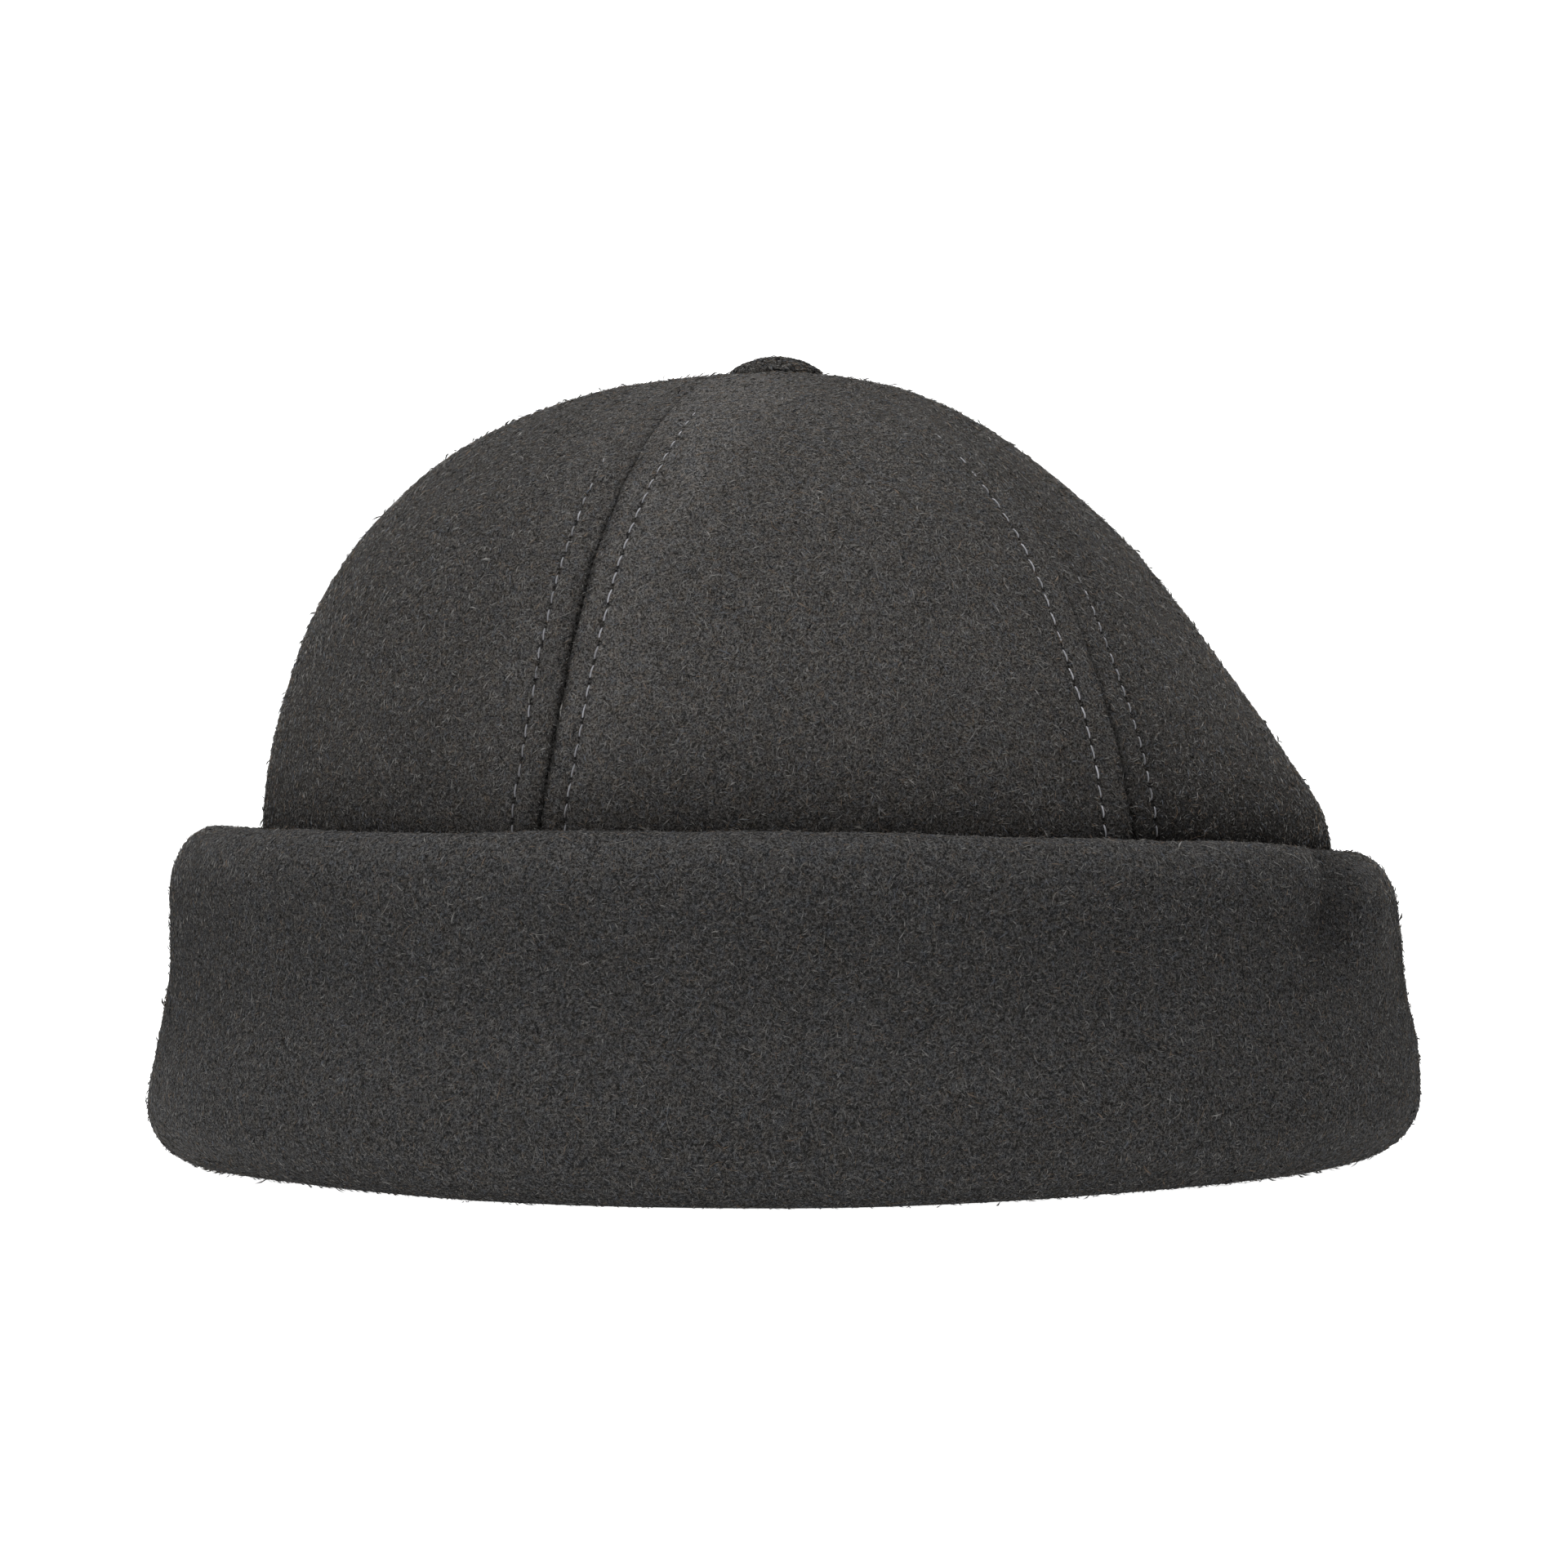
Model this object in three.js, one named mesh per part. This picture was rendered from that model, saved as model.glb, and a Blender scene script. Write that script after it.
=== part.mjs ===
// A brimless wool cap: six felted panels sewn into a dome, a cloth-covered button where they meet,
// and a wide band of the same cloth that is turned up all round as a soft cuff.
// Millimetres. +Z is up and the cap stands on z = 0. -X is the front, +X the back, -Y the wearer's left.
import * as THREE from "three";
import { mergeVertices } from "three/addons/utils/BufferGeometryUtils.js";

// The cloth and the sewing
const CLOTH = 2.2; // thickness of the felted wool
const SEAM_GAP = 0.3; // between two pieces that are sewn together
const SEAM_DEPTH = 0.9; // how far a panel's outer face dips where it is sewn to the next
const SEAM_DIP_REACH = 1.6; // how far from the seam that dip is felt

// The crown: how far its outer face reaches from the button's axis at each level, and where its side seams
// run there, in degrees from the back
const AXIS_X = -1.5; // the button sits a little in front of the middle
const CROWN_LEVELS = [
  { z: 5.5, front: 97.0, side: 85.5, back: 105.5, frontSeam: 114.5, rearSeam: 53.2 },
  { z: 20.0, front: 97.0, side: 85.5, back: 105.5, frontSeam: 114.5, rearSeam: 53.2 },
  { z: 37.0, front: 97.0, side: 85.5, back: 105.5, frontSeam: 114.5, rearSeam: 53.2 },
  { z: 53.0, front: 97.0, side: 85.5, back: 105.3, frontSeam: 114.5, rearSeam: 53.2 },
  { z: 66.0, front: 96.9, side: 85.0, back: 103.4, frontSeam: 114.5, rearSeam: 53.1 },
  { z: 78.0, front: 95.4, side: 83.8, back: 96.2, frontSeam: 113.6, rearSeam: 51.4 },
  { z: 91.0, front: 92.1, side: 81.0, back: 87.1, frontSeam: 113.0, rearSeam: 49.8 },
  { z: 106.0, front: 86.4, side: 75.8, back: 75.8, frontSeam: 112.3, rearSeam: 47.5 },
  { z: 120.0, front: 77.2, side: 67.6, back: 63.8, frontSeam: 111.7, rearSeam: 45.7 },
  { z: 132.0, front: 64.6, side: 56.4, back: 50.1, frontSeam: 111, rearSeam: 45.5 },
  { z: 140.0, front: 50.8, side: 44.4, back: 38.5, frontSeam: 111, rearSeam: 46 },
  { z: 145.6, front: 35.0, side: 31.0, back: 27.0, frontSeam: 113, rearSeam: 49 },
  { z: 148.5, front: 19.0, side: 17.6, back: 15.6, frontSeam: 117, rearSeam: 55 },
  { z: 149.3, front: 8.0, side: 7.6, back: 7.4, frontSeam: 120, rearSeam: 60 },
  { z: 149.4, front: 2.5, side: 2.5, back: 2.5, frontSeam: 120, rearSeam: 60 },
];
const PANELS = [
  { name: "back", from: () => 0, to: (level) => level.rearSeam },
  { name: "side", from: (level) => level.rearSeam, to: (level) => level.frontSeam },
  { name: "front", from: (level) => level.frontSeam, to: () => 180 },
];
const PANEL_COLUMNS = 10;
const PANEL_ROWS = 17;

// The cuff's section: how far each of its features stands out from the crown's lower wall, and how high it
// is. The flare's softness says how slowly the wall bends from there to the waist: 0.5 is the most.
const CUFF_FEATURES = {
  flareOut: { front: 21.5, side: 17.6, back: 16.2 }, // the widest part, low down
  flareHeight: { front: 11.5, side: 12.5, back: 14.5 },
  flareSoftness: { front: 0.34, side: 0.41, back: 0.44 },
  footOut: { front: 7.5, side: 8.5, back: 2.0 }, // outer end of the flat that it rests on
  waistOut: { front: 16.9, side: 13.4, back: 13.0 }, // where it pulls in, half-way up
  waistHeight: { front: 40.0, side: 41.0, back: 41.0 },
  shoulderOut: { front: 16.9, side: 13.0, back: 12.3 }, // where the top fold starts to round over
  shoulderHeight: { front: 51.5, side: 52.0, back: 47.0 },
  ridgeOut: { front: 9.0, side: 6.4, back: 3.0 }, // the fold's highest line
  ridgeHeight: { front: 63.7, side: 63.0, back: 59.3 },
  tuckOut: { front: 1.2, side: 1.0, back: 0.8 }, // the inner layer, close to the crown
  tuckHeight: { front: 54.0, side: 54.0, back: 57.6 },
};
const TUCK_END = 8; // the inner layer stops here, just above the roll
const HEEL_LIFT = 2.3; // the rear of the roll curves up off the ground by this much
const HEEL_START = 0; // cosine of the angle from the back at which it begins to
const HEM_OUT = -4.9; // the turned-in hem lies on the inside of the crown's wall
const HEM_TOP = 14;
const HEM_CORNER = 4;
const ROLL_WAVE = { angle: -147, spread: 24, lift: 1.2 }; // the roll also rises a little in front on the left
const CUFF_STEPS_AROUND = 52;
const CUFF_STEPS = [2, 3, 2, 5, 5, 1, 5, 4, 3]; // along each stretch of the section, from the hem to the tuck
// A soft dent pressed into the top fold behind the wearer's left ear: it grows outwards, from none on the
// ridge
const DENT = { angle: -34, spread: 7, height: 54, reach: 12, depth: 2.6, from: 4, full: 9 };
// The fold stands a little higher before the dent and lower behind it, less and less down from its ridge
const FOLD_WAVES = [
  { angle: -40, spread: 8, lift: 1 },
  { angle: -24, spread: 6, lift: -0.8 },
];
const FOLD_WAVES_FROM = 42;
const FOLD_WAVES_FULL = 58;

// The covered button
const BUTTON_RADIUS = 9;
const BUTTON_HEIGHT = 4;
const BUTTON_RIM = 0.7;
const BUTTON_SIDES = 24;
const DOME_STEPS = 8;
const BUTTON_CURVE = 1.55; // exponent of the dome's section, 2 being an ellipse
const SHANK_RADIUS = 1.9;
const BACKING = { radius: 5, top: -2.9, thickness: 1 };

const WOOL = new THREE.MeshStandardMaterial({ color: 0x3d3c3a, roughness: 0.95, metalness: 0 });
const WOOL_CUFF = new THREE.MeshStandardMaterial({ color: 0x3a3a39, roughness: 0.95, metalness: 0 });

// The crown at row number t of its table, on smooth curves through the rows (Catmull-Rom).
function crownLevel(t) {
  const i = Math.min(Math.floor(t), CROWN_LEVELS.length - 2);
  const f = t - i;
  const near = [i - 1, i, i + 1, i + 2].map(
    (k) => CROWN_LEVELS[THREE.MathUtils.clamp(k, 0, CROWN_LEVELS.length - 1)],
  );
  const level = {};
  for (const column in near[0]) {
    const [a, b, c, d] = near.map((row) => row[column]);
    level[column] = b + 0.5 * f * (c - a + f * (2 * a - 5 * b + 4 * c - d + f * (3 * (b - c) + d - a)));
  }
  return level;
}

// A value between its front, side and back ones: the cosine's square shares it out round the oval.
function around(feature, angle) {
  const share = Math.cos(angle) ** 2;
  const end = Math.cos(angle) > 0 ? feature.back : feature.front;
  return feature.side + (end - feature.side) * share;
}

// An oval made of a front and a back half-ellipse, which join at the sides.
function oval(level, angle) {
  const reach = Math.cos(angle) > 0 ? level.back : level.front;
  return new THREE.Vector2(AXIS_X + reach * Math.cos(angle), level.side * Math.sin(angle));
}

function ovalNormal(level, angle) {
  const reach = Math.cos(angle) > 0 ? level.back : level.front;
  return new THREE.Vector2(level.side * Math.cos(angle), reach * Math.sin(angle)).normalize();
}

function crownPoint(angle, t) {
  const level = crownLevel(t);
  const { x, y } = oval(level, angle);
  return new THREE.Vector3(x, y, level.z);
}

function crownNormal(angle, t) {
  const d = 1e-3;
  const top = CROWN_LEVELS.length - 1;
  const [t0, t1] = [Math.max(t - d, 0), Math.min(t + d, top)];
  const across = crownPoint(angle + d, t).sub(crownPoint(angle - d, t));
  const up = crownPoint(angle, t1).sub(crownPoint(angle, t0));
  return across.cross(up).normalize();
}

// Joins equal rows of points into a closed body. Each row is a loop, and so is the stack of rows if it is a
// ring; otherwise the first and last rows are capped.
function closedBody(rows, ring) {
  const across = rows[0].length;
  const corners = rows.flat().flatMap((p) => [p.x, p.y, p.z]);
  const faces = [];
  const quad = (a, b, c, d) => faces.push(a, b, c, a, c, d);
  const lastRow = ring ? rows.length : rows.length - 1;
  for (let i = 0; i < lastRow; i++)
    for (let j = 0; j < across; j++) {
      const [low, high] = [i * across, ((i + 1) % rows.length) * across];
      const next = (j + 1) % across;
      quad(low + j, low + next, high + next, high + j);
    }
  if (!ring) {
    const top = (rows.length - 1) * across;
    for (let j = 0; j < across / 2 - 1; j++) {
      const far = across - 1 - j;
      quad(j + 1, j, far, far - 1);
      quad(top + j, top + j + 1, top + far - 1, top + far);
    }
  }
  const body = new THREE.BufferGeometry();
  body.setAttribute("position", new THREE.Float32BufferAttribute(corners, 3));
  body.setIndex(faces);
  const merged = mergeVertices(body, 1e-4);
  merged.computeVertexNormals();
  return merged;
}

// A panel between two seams. Each row runs across its outer face and back across its inner face.
function panelBody(panel, sign) {
  const rows = [];
  for (let i = 0; i <= PANEL_ROWS; i++) {
    const t = (i / PANEL_ROWS) * (CROWN_LEVELS.length - 1);
    const level = crownLevel(t);
    const ends = [panel.from(level), panel.to(level)].map((seam) => THREE.MathUtils.degToRad(sign * seam));
    if (sign < 0) ends.reverse();
    const middle = (ends[0] + ends[1]) / 2;
    const width = crownPoint(ends[0], t).distanceTo(crownPoint(middle, t)) * 2;
    const inset = (SEAM_GAP / 2 / width) * (ends[1] - ends[0]);
    const outer = [];
    const inner = [];
    for (let j = 0; j <= PANEL_COLUMNS; j++) {
      const across = (1 - Math.cos((Math.PI * j) / PANEL_COLUMNS)) / 2; // columns crowd towards the seams
      const angle = THREE.MathUtils.lerp(ends[0] + inset, ends[1] - inset, across);
      const point = crownPoint(angle, t);
      const normal = crownNormal(angle, t);
      const fromSeam = Math.min(across, 1 - across) * width;
      const dip = SEAM_DEPTH * Math.exp(-((fromSeam / SEAM_DIP_REACH) ** 2));
      outer.push(point.clone().addScaledVector(normal, -dip));
      inner.unshift(point.clone().addScaledVector(normal, -CLOTH));
    }
    rows.push([...outer, ...inner]);
  }
  return closedBody(rows, false);
}

// A quarter of an ellipse from one point to another. It leaves along the level (or upright) direction.
function corner(path, x, z, levelFirst) {
  const { x: x0, y: z0 } = path.currentPoint;
  const k = 0.5523; // makes a cubic curve follow a quarter ellipse
  if (levelFirst) path.bezierCurveTo(x0 + (x - x0) * k, z0, x, z - (z - z0) * k, x, z);
  else path.bezierCurveTo(x0, z0 + (z - z0) * k, x - (x - x0) * k, z, x, z);
}

// The outer face of the cuff's cloth in section: in from the hem, under the roll, up outside, over and down
// again.
function cuffPath(angle) {
  const at = {};
  for (const name in CUFF_FEATURES) at[name] = around(CUFF_FEATURES[name], angle);
  const path = new THREE.Path();
  const heel = HEEL_LIFT * THREE.MathUtils.smoothstep(Math.cos(angle), HEEL_START, 1);
  const floor = heel + ROLL_WAVE.lift * bell(angle, ROLL_WAVE);
  path.moveTo(HEM_OUT, HEM_TOP);
  path.lineTo(HEM_OUT, floor + HEM_CORNER);
  corner(path, HEM_OUT + HEM_CORNER, floor, false);
  path.lineTo(at.footOut, floor);
  corner(path, at.flareOut, at.flareHeight, true);
  const rise = (at.waistHeight - at.flareHeight) * at.flareSoftness;
  path.bezierCurveTo(
    at.flareOut, at.flareHeight + rise, at.waistOut, at.waistHeight - rise, at.waistOut, at.waistHeight,
  );
  path.lineTo(at.shoulderOut, at.shoulderHeight);
  corner(path, at.ridgeOut, at.ridgeHeight, false);
  corner(path, at.tuckOut, at.tuckHeight, true);
  path.lineTo(at.tuckOut, TUCK_END);
  return path.curves.flatMap((curve, i) => {
    const points = curve.getPoints(CUFF_STEPS[i]);
    return i ? points.slice(1) : points;
  });
}

// The same line moved inwards by the cloth's thickness, to the left of the way it runs.
function insideOf(line) {
  return line.map((point, i) => {
    const before = line[Math.max(i - 1, 0)];
    const after = line[Math.min(i + 1, line.length - 1)];
    const way = after.clone().sub(before).normalize();
    return new THREE.Vector2(point.x - way.y * CLOTH, point.y + way.x * CLOTH);
  });
}

// A bell-shaped share of one at the wave's angle, that falls away on both sides.
function bell(angle, wave) {
  const turn = ((THREE.MathUtils.radToDeg(angle) - wave.angle + 180) % 360) - 180;
  return Math.exp(-((turn / wave.spread) ** 2));
}

function dentAt(angle, height) {
  return DENT.depth * bell(angle, DENT) * Math.exp(-(((height - DENT.height) / DENT.reach) ** 2));
}

function foldLiftAt(angle, height) {
  const lift = FOLD_WAVES.reduce((sum, wave) => sum + wave.lift * bell(angle, wave), 0);
  const share = (height - FOLD_WAVES_FROM) / (FOLD_WAVES_FULL - FOLD_WAVES_FROM);
  return lift * THREE.MathUtils.clamp(share, 0, 1);
}

// The cuff is one ring: the section above, carried round the crown's lower wall.
function cuffBody() {
  const wall = CROWN_LEVELS[0];
  const rows = [];
  for (let i = 0; i < CUFF_STEPS_AROUND; i++) {
    const angle = (i / CUFF_STEPS_AROUND) * 2 * Math.PI;
    const foot = oval(wall, angle);
    const out = ovalNormal(wall, angle);
    const outer = cuffPath(angle);
    const loop = [...insideOf(outer), ...outer.reverse()];
    rows.push(
      loop.map(({ x, y }) => {
        const share = THREE.MathUtils.smoothstep(x, DENT.from, DENT.full);
        const far = x - dentAt(angle, y) * share;
        const high = y + foldLiftAt(angle, y) * share;
        return new THREE.Vector3(foot.x + out.x * far, foot.y + out.y * far, high);
      }),
    );
  }
  return closedBody(rows, true);
}

// The button: a domed cap, its shank through the hole between the panels, and a small disc that holds it
// inside.
function buttonBody() {
  const profile = [
    [0, BACKING.top - BACKING.thickness],
    [BACKING.radius, BACKING.top - BACKING.thickness],
    [BACKING.radius, BACKING.top],
    [SHANK_RADIUS, BACKING.top],
    [SHANK_RADIUS, SEAM_GAP],
    [BUTTON_RADIUS - BUTTON_RIM, SEAM_GAP],
  ];
  for (let i = 0; i <= DOME_STEPS; i++) {
    const turn = (i / DOME_STEPS) * (Math.PI / 2);
    profile.push([
      BUTTON_RADIUS * Math.cos(turn) ** (2 / BUTTON_CURVE),
      BUTTON_RIM + (BUTTON_HEIGHT - BUTTON_RIM) * Math.sin(turn) ** (2 / BUTTON_CURVE),
    ]);
  }
  profile[profile.length - 1][0] = 0;
  const body = new THREE.LatheGeometry(profile.map(([x, y]) => new THREE.Vector2(x, y)), BUTTON_SIDES);
  return body.rotateX(Math.PI / 2);
}

function named(name, body, material) {
  const mesh = new THREE.Mesh(body, material);
  mesh.name = name;
  return mesh;
}

const cap = new THREE.Group();
for (const [side, sign] of [["left", -1], ["right", 1]])
  for (const panel of PANELS)
    cap.add(named(`crown_panel_${panel.name}_${side}`, panelBody(panel, sign), WOOL));
cap.add(named("turned_up_cuff", cuffBody(), WOOL_CUFF));

const button = named("top_button", buttonBody(), WOOL);
button.position.set(AXIS_X, 0, CROWN_LEVELS[CROWN_LEVELS.length - 1].z);
cap.add(button);

export default cap;
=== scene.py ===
import math

import bpy
import numpy as np
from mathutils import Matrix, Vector


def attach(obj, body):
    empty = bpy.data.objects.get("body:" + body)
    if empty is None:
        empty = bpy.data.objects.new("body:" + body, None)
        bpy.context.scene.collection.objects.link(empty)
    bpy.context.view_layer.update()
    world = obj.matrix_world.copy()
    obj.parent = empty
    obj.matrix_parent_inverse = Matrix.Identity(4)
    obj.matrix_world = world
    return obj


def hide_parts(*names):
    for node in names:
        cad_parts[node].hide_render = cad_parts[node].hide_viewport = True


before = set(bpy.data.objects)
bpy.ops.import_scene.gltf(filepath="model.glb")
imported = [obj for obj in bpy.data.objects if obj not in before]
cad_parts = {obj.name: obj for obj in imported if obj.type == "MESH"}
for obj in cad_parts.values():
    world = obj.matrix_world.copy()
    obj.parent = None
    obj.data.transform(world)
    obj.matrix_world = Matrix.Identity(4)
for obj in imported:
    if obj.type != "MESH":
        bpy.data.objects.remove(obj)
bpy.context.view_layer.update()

bl_info = {
    "name": "Wool cap with a turned-up cuff",
    "version": (1, 0, 0),
    "blender": (4, 5, 0),
    "location": "View3D > Sidebar > Wool Cap",
    "description": "Builds the cap's panels, cuff, button, stitches and nap, and the stage that it stands on",
    "category": "Add Mesh",
}

# Sizes are in millimetres, as in the solids, and are turned to metres where a mesh is made.
MM = 0.001

# Cloth
CLOTH = 2.2
SEAM_GAP = 0.3

# The crown's outer face: level, reach to the front, side and back of the button's axis, and the directions of
# the two side seams in degrees from the back
AXIS_X = -1.5
CROWN_COLUMNS = ("z", "front", "side", "back", "front_seam", "rear_seam")
CROWN_LEVELS = (
    (5.5, 97.0, 85.5, 105.5, 114.5, 53.2),
    (20.0, 97.0, 85.5, 105.5, 114.5, 53.2),
    (37.0, 97.0, 85.5, 105.5, 114.5, 53.2),
    (53.0, 97.0, 85.5, 105.3, 114.5, 53.2),
    (66.0, 96.9, 85.0, 103.4, 114.5, 53.1),
    (78.0, 95.4, 83.8, 96.2, 113.6, 51.4),
    (91.0, 92.1, 81.0, 87.1, 113.0, 49.8),
    (106.0, 86.4, 75.8, 75.8, 112.3, 47.5),
    (120.0, 77.2, 67.6, 63.8, 111.7, 45.7),
    (132.0, 64.6, 56.4, 50.1, 111.0, 45.5),
    (140.0, 50.8, 44.4, 38.5, 111.0, 46.0),
    (145.6, 35.0, 31.0, 27.0, 113.0, 49.0),
    (148.5, 19.0, 17.6, 15.6, 117.0, 55.0),
    (149.3, 8.0, 7.6, 7.4, 120.0, 60.0),
    (149.4, 2.5, 2.5, 2.5, 120.0, 60.0),
)
TOP_ROW = len(CROWN_LEVELS) - 1
PANELS = ("back", "side", "front")
PANEL_SEAMS = {"back": ("centre", "rear"), "side": ("rear", "front"), "front": ("front", "centre")}
SIDES = (("left", -1), ("right", 1))

# The panels' grid: the level that the cuff hides them to, points up to it and up the rest, points across the
# inner face, and columns of the outer face as (how far from the seam, step), laid out for one row's width
HIDDEN_LEVEL = 58.0
HIDDEN_ROWS = 6
SHOWN_ROWS = 136
INNER_COLUMNS = 7
EDGE_COLUMNS = (1.6, 0.27)
SEWN_COLUMNS = (7.6, 0.6)
MIDDLE_COLUMNS = 17
WIDTH_ROW = 4.0
# Points along the curves that lengths are measured on: across a panel, up it, for its rows and its stitches
ARC_POINTS = 9
LENGTH_POINTS = 400
ROW_POINTS = 900
STITCH_POINTS = 600

# The sewing beside each seam on each panel: the row's distance from the seam low on the crown and high on
# it, the level where the row sinks out of sight, the level where the nap has closed over the seam, how far
# below it does so, and how light the thread is
SEWING_LEVELS = (68.0, 130.0)
SEWING_COLUMNS = ("low", "high", "row_top", "groove_top", "groove_fade", "light")
SEWING = {
    ("front", "front"): (5.0, 5.7, 133.0, 140.0, 40.0, 0.76),
    ("front", "side"): (4.5, 4.4, 144.0, 140.0, 40.0, 1.00),
    ("rear", "side"): (5.8, 5.5, 141.0, 116.0, 60.0, 1.25),
    ("rear", "back"): (4.6, 6.0, 116.0, 116.0, 60.0, 0.64),
    ("centre", "front"): (5.2, 5.2, 140.0, 140.0, 40.0, 1.00),
    ("centre", "back"): (5.2, 5.2, 140.0, 140.0, 40.0, 0.90),
}
ROW_FADE = 14.0
LEAST_GROOVE = 0.06
GROOVE_WIDTH = 0.55
# The cloth's relief beside a seam, as humps over the distance from it: (height, place, spread). Then how deep
# the row of stitches is drawn in, how much deeper at the needle holes, how wide, and the step across it
SEAM_SECTION = ((-0.40, 0.0, 0.40), (-0.22, 0.0, 1.2), (0.22, 2.8, 1.7))
ROW_DEPTH = 0.22
NEEDLE_DEPTH = 0.26
ROW_WIDTH = 0.7
ROW_STEP = 0.08
ROW_STEP_WIDTH = 0.8
# Where a panel is narrower than this, its relief is lower, down to this share
RELIEF_WIDTH = 14.0
LEAST_RELIEF = 0.25
# The share of the gap by which a seam's edges come together where the nap closes over it, and how far from
# the seam that and the drift of its line reach
CLOSED = 0.7
CLOSE_REACH = 0.6
DRIFT_REACH = 2.5

# Unevenness of the cloth and of the seams' lines, as layers of waves: (height, length, seed, octaves). Each
# octave is the sum of a few waves, whose lengths differ by these shares
WAVES_EACH = 7
WAVE_SHARES = (0.7, 1.3)
CROWN_WAVES = ((0.22, 34, 5, 3), (0.05, 6, 9, 2))
SEAM_WAVES = ((0.20, 10, 12, 2), (0.07, 3, 14, 2))
GROOVE_WAVES = ((0.45, 5, 15, 2),)
CUFF_WAVES = ((0.42, 62, 261, 2), (0.20, 21, 69, 2), (0.06, 6, 33, 2))
LAY_WAVES = ((1.6, 60, 71, 2),)

# Painted light and shade on the crown: how light each panel is painted, standing for how its nap, which lies
# a different way on each panel, catches the light, how much painted shade lies just above the cuff, and a
# band beside each kind of seam of painted highlight at the front seams and painted shade at the rear ones,
# more so from one level up
PANEL_PAINTED_LIGHT = {"back": 0.97, "side": 1.08, "front": 0.86}
PANEL_PAINTED_SHADE = {"back": 0.46, "side": 0.27, "front": 0.06}
CUFF_TOP = 60.0
SHADE_SPREAD = 17.0
SEAM_PAINTED_BANDS = {"front": 0.20, "rear": -0.10, "centre": 0.0}
SEAM_BAND_AT = 8.0
SEAM_BAND_SPREAD = 7.0
BAND_WIDTH = 40.0
BAND_LEVEL = 120.0
BAND_RISE = 25.0
BAND_GAIN = 0.5

# The cuff's section at the front, the sides and the back: how far each feature stands out from the crown's
# lower wall, or how high it is. Then the tuck's end, how far the back is lifted, where the hem is, how large
# its corner is, and a soft wave of the roll as (direction, spread, height)
CUFF_FEATURES = {
    "flare_out": (21.5, 17.6, 16.2),
    "flare_height": (11.5, 12.5, 14.5),
    "flare_softness": (0.34, 0.41, 0.44),
    "foot_out": (7.5, 8.5, 2.0),
    "waist_out": (16.9, 13.4, 13.0),
    "waist_height": (40.0, 41.0, 41.0),
    "shoulder_out": (16.9, 13.0, 12.3),
    "shoulder_height": (51.5, 52.0, 47.0),
    "ridge_out": (9.0, 6.4, 3.0),
    "ridge_height": (63.7, 63.0, 59.3),
    "tuck_out": (1.2, 1.0, 0.8),
    "tuck_height": (54.0, 54.0, 57.6),
}
TUCK_END = 8.0
HEEL_LIFT = 2.3
HEM_OUT = -4.9
HEM_TOP = 14.0
HEM_CORNER = 4.0
ROLL_WAVE = (-147, 24, 1.2)
QUARTER_ELLIPSE = 0.5523
# Points of each stretch of the section, from hem, corner and foot to roll, wall, shoulder, the two sides of
# the fold and the tuck, and steps round the cuff
CUFF_FINE = (2, 4, 6, 22, 25, 8, 17, 10, 4)
CUFF_INSIDE = (2, 3, 2, 5, 5, 2, 5, 4, 3)
CUFF_STEPS = 420
# The distance out from the crown where the dent begins, and how much further out it is whole
DENT_FROM = 3.0
DENT_GROWTH = 6.0
# Humps over the turn and the height: how much, the direction in degrees at the level DENT_TOP, how far it
# leans for each mm down, its spread, and the level and its spread. They are the dent's hollow, the notch in
# the fold and the swelling behind it, the painted shade in the hollow, where the nap is also pressed flat,
# and the painted highlight on the swelling behind the dent. Then how much darker the painted shade makes the
# cloth and the share of the fibres there that turn dark
DENT_TOP = 54.0
DENT_LEAN = 0.38
DENT = (
    (3.2, -29.5, DENT_LEAN, 4.8, 52.0, 12.0),
    (1.6, -28.0, 0.0, 2.4, 55.0, 4.5),
    (-1.3, -23.0, 0.0, 5.0, 44.0, 11.0),
)
PRESSED_AND_SHADED = (1.0, -28.0, DENT_LEAN, 4.5, 51.0, 11.0)
BEHIND_DENT_HIGHLIGHT = (0.28, -22.0, 0.0, 5.5, 42.0, 16.0)
PRESSED_SHADE_DARK = 0.40
PRESSED_SHADE_FIBRES = 0.55
# How far the fold stands higher or lower near the dent: (height, direction, spread), and the level where that
# begins and how far above it is whole. Then the height up to which the cuff is smoother, where it stands
FOLD_LIFTS = ((1.0, -40.0, 8.0), (-0.8, -24.0, 6.0))
FOLD_LIFT_LEVEL = 42.0
FOLD_LIFT_RISE = 16.0
STAND_HEIGHT = 9.0
# Painted shading on the cuff at some heights, as (height, spread, share): a painted highlight over the fold,
# painted shade under it, painted light on the flare and painted shade at the foot. Then painted light low at
# its
# ends: the share at its sides, how much less it is at the back, a power of the cosine, and the height and
# spread
CUFF_PAINTED_SHADING = ((61.0, 5.0, 0.14), (45.0, 9.0, -0.06), (20.0, 9.0, 0.07), (3.0, 5.0, -0.08))
END_PAINTED_LIGHT = 0.60
END_TILT = 0.20
END_POWER = 8
END_LEVEL = 8.0
END_SPREAD = 12.0

# The covered button: its dome, how far its cloth lies under its nap, its grid, the soft pleats at its rim as
# (height, how many, start) and how far up they reach, the points (radius, height over the crown's top) of its
# disc, shank and underside, and how light it is, with a lighter base as (share, height, spread)
BUTTON_RADIUS = 9.0
BUTTON_HEIGHT = 4.0
BUTTON_RIM = 0.7
BUTTON_CURVE = 1.55
BUTTON_NAP = 0.3
BUTTON_SIDES = 96
BUTTON_RINGS = 30
BUTTON_LAST_RING = 0.985
PLEATS = ((0.10, 11, 1.3), (0.07, 17, 0.4))
PLEAT_REACH = 0.35
BUTTON_UNDER = (
    (0.6, -3.9), (5.0, -3.9), (5.0, -2.9), (1.9, -2.9), (1.9, SEAM_GAP), (6.0, SEAM_GAP), (8.65, -0.1),
)
BUTTON_LAY = 0.92
BUTTON_BASE_LIGHT = (0.9, 0.2, 0.45)
BUTTON_DARK_FIBRES = 0.3

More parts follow.
